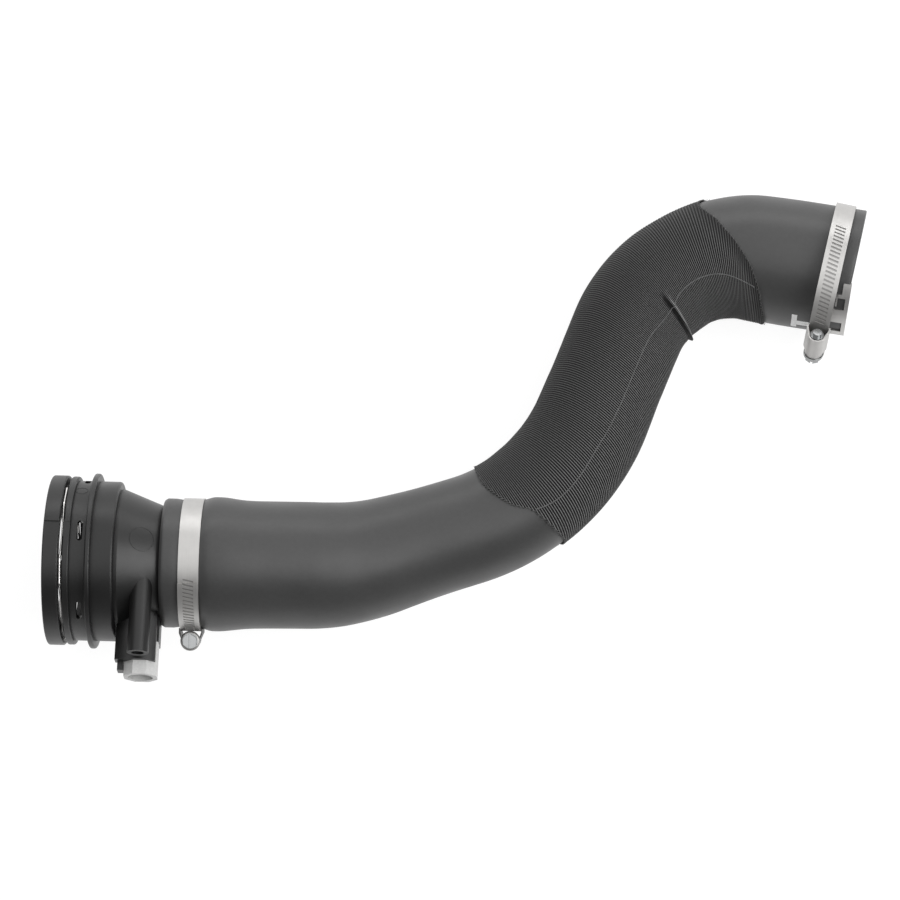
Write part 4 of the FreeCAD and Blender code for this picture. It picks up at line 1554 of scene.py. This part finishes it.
@dataclass
class Studio:
    """White table, soft light and a camera straight above."""

    eye: tuple[float, float, float] = (0.19298, 0.06612, 1.700)
    roll: float = 1.5
    lens: float = 123.636
    sensor: float = 36.0
    table_height: float = -0.0489
    table_size: float = 14.0
    paper: tuple[float, float] = (0.86, 0.89)
    shadow_share: float = 0.25
    glow: float = 1.18
    sky: float = 0.15
    panels: Sequence[SoftBox] = (
        SoftBox("soft_panel", (0.0, 0.50, 1.40), (3.0, 2.4), 24.0),
        SoftBox("back_panel", (0.0, 1.60, 0.36), (3.2, 0.6), 16.0),
        SoftBox("right_panel", (1.15, 0.00, 1.28), (1.4, 1.2), 18.0),
        SoftBox("front_panel", (0.0, -1.50, 0.45), (3.2, 0.8), 1.6),
    )

    def table(self) -> None:
        """Lays the white table, which keeps the object's shadow."""
        mesh = bpy.data.meshes.new("table")
        half = self.table_size / 2
        corners = [(-half, -half), (half, -half), (half, half), (-half, half)]
        mesh.from_pydata([(x, y, self.table_height) for x, y in corners], [], [(0, 1, 2, 3)])
        bench = NodeBench("table_white")
        patches = bench.cloud(6.0, 2.0)
        low, high = [(tone, tone, tone, 1.0) for tone in self.paper]
        paper = bench.tones(patches, [(0.3, low), (0.7, high)])
        bench.set(Roughness=0.9, Specular_IOR_Level=0.0)
        bench.feed(Base_Color=paper)
        glow = bench.add("ShaderNodeEmission")
        glow.inputs["Strength"].default_value = self.glow
        path = bench.add("ShaderNodeLightPath")
        seen = path.outputs["Is Camera Ray"]
        for name in ("Is Glossy Ray", "Is Transmission Ray"):
            both = bench.add("ShaderNodeMath", operation="MAXIMUM")
            bench.link(seen, both.inputs[0])
            bench.link(path.outputs[name], both.inputs[1])
            seen = both.outputs["Value"]
        share = bench.add("ShaderNodeMath", operation="MULTIPLY")
        share.inputs[1].default_value = 1.0 - self.shadow_share
        bench.link(seen, share.inputs[0])
        mix = bench.add("ShaderNodeMixShader")
        bench.link(share.outputs["Value"], mix.inputs["Fac"])
        bench.link(bench.shader.outputs["BSDF"], mix.inputs[1])
        bench.link(glow.outputs["Emission"], mix.inputs[2])
        bench.link(mix.outputs["Shader"], bench.tree.nodes["Material Output"].inputs["Surface"])
        mesh.materials.append(bench.material)
        table = bpy.data.objects.new("table", mesh)
        bpy.context.scene.collection.objects.link(table)

    def lights(self) -> None:
        """Hangs the soft boxes and sets the room's even light."""
        middle = Vector((self.eye[0], self.eye[1], 0.0))
        for panel in self.panels:
            panel.hang(middle)
        world = bpy.data.worlds.new("room")
        world.use_nodes = True
        world.node_tree.nodes["Background"].inputs["Color"].default_value = (1, 1, 1, 1)
        world.node_tree.nodes["Background"].inputs["Strength"].default_value = self.sky
        bpy.context.scene.world = world

    def camera(self) -> None:
        """Sets the camera that looks straight down."""
        data = bpy.data.cameras.new("camera")
        data.lens = self.lens
        data.sensor_width = self.sensor
        camera = bpy.data.objects.new("camera", data)
        camera.location = self.eye
        camera.rotation_euler = (0.0, 0.0, math.radians(self.roll))
        bpy.context.scene.collection.objects.link(camera)
        bpy.context.scene.camera = camera

    def build(self) -> None:
        """Sets up the table, the light and the camera."""
        self.table()
        self.lights()
        self.camera()
        bpy.context.scene.view_settings.view_transform = "Standard"
        LOG.info("built studio")


def moulded_line() -> MouldedLine:
    """The hose's line as the part has it.

    Returns:
        The line in millimetres, from the coupling's cone to the open end.
    """
    corners = [
        Vector((37.5, 0.0, 0.0)),
        Vector((78.6, 0.0, 0.0)),
        Vector((139.6, 0.8, -8.5)),
        Vector((253.2, 38.1, -17.0)),
        Vector((296.4, 152.4, -17.0)),
        Vector((336.1, 180.5, -15.5)),
        Vector((412.4, 169.75, -6.2)),
    ]
    return MouldedLine(corners, [100.0, 129.0, 110.0, 67.0, 65.0])


def main() -> None:
    """Builds the visual model and the studio."""
    logging.basicConfig(level=logging.INFO, format="%(name)s: %(message)s")
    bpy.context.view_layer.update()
    Studio().build()
    CadFinishes().dress()
    hose = MouldedHose(moulded_line())
    hose.build(MouldedRubber().material())
    KnitSleeve(hose).build(
        KnitYarn().material(),
        SewingThread("seam_yarn", Grey.THREAD).material(),
        SewingThread("edge_yarn", Grey.YARN, 1.9).material(),
    )
    IndexMark(hose).build(SatinPlastic("index_paint", Grey.PAINT, roughness=(0.5, 0.6)).material())
    MouldRings().build(SatinPlastic("ring_plastic", Grey.PLASTIC).material())
    for clamp in (LEFT_CLAMP, RIGHT_CLAMP):
        clamp.build()


if __name__ == "__main__":
    main()
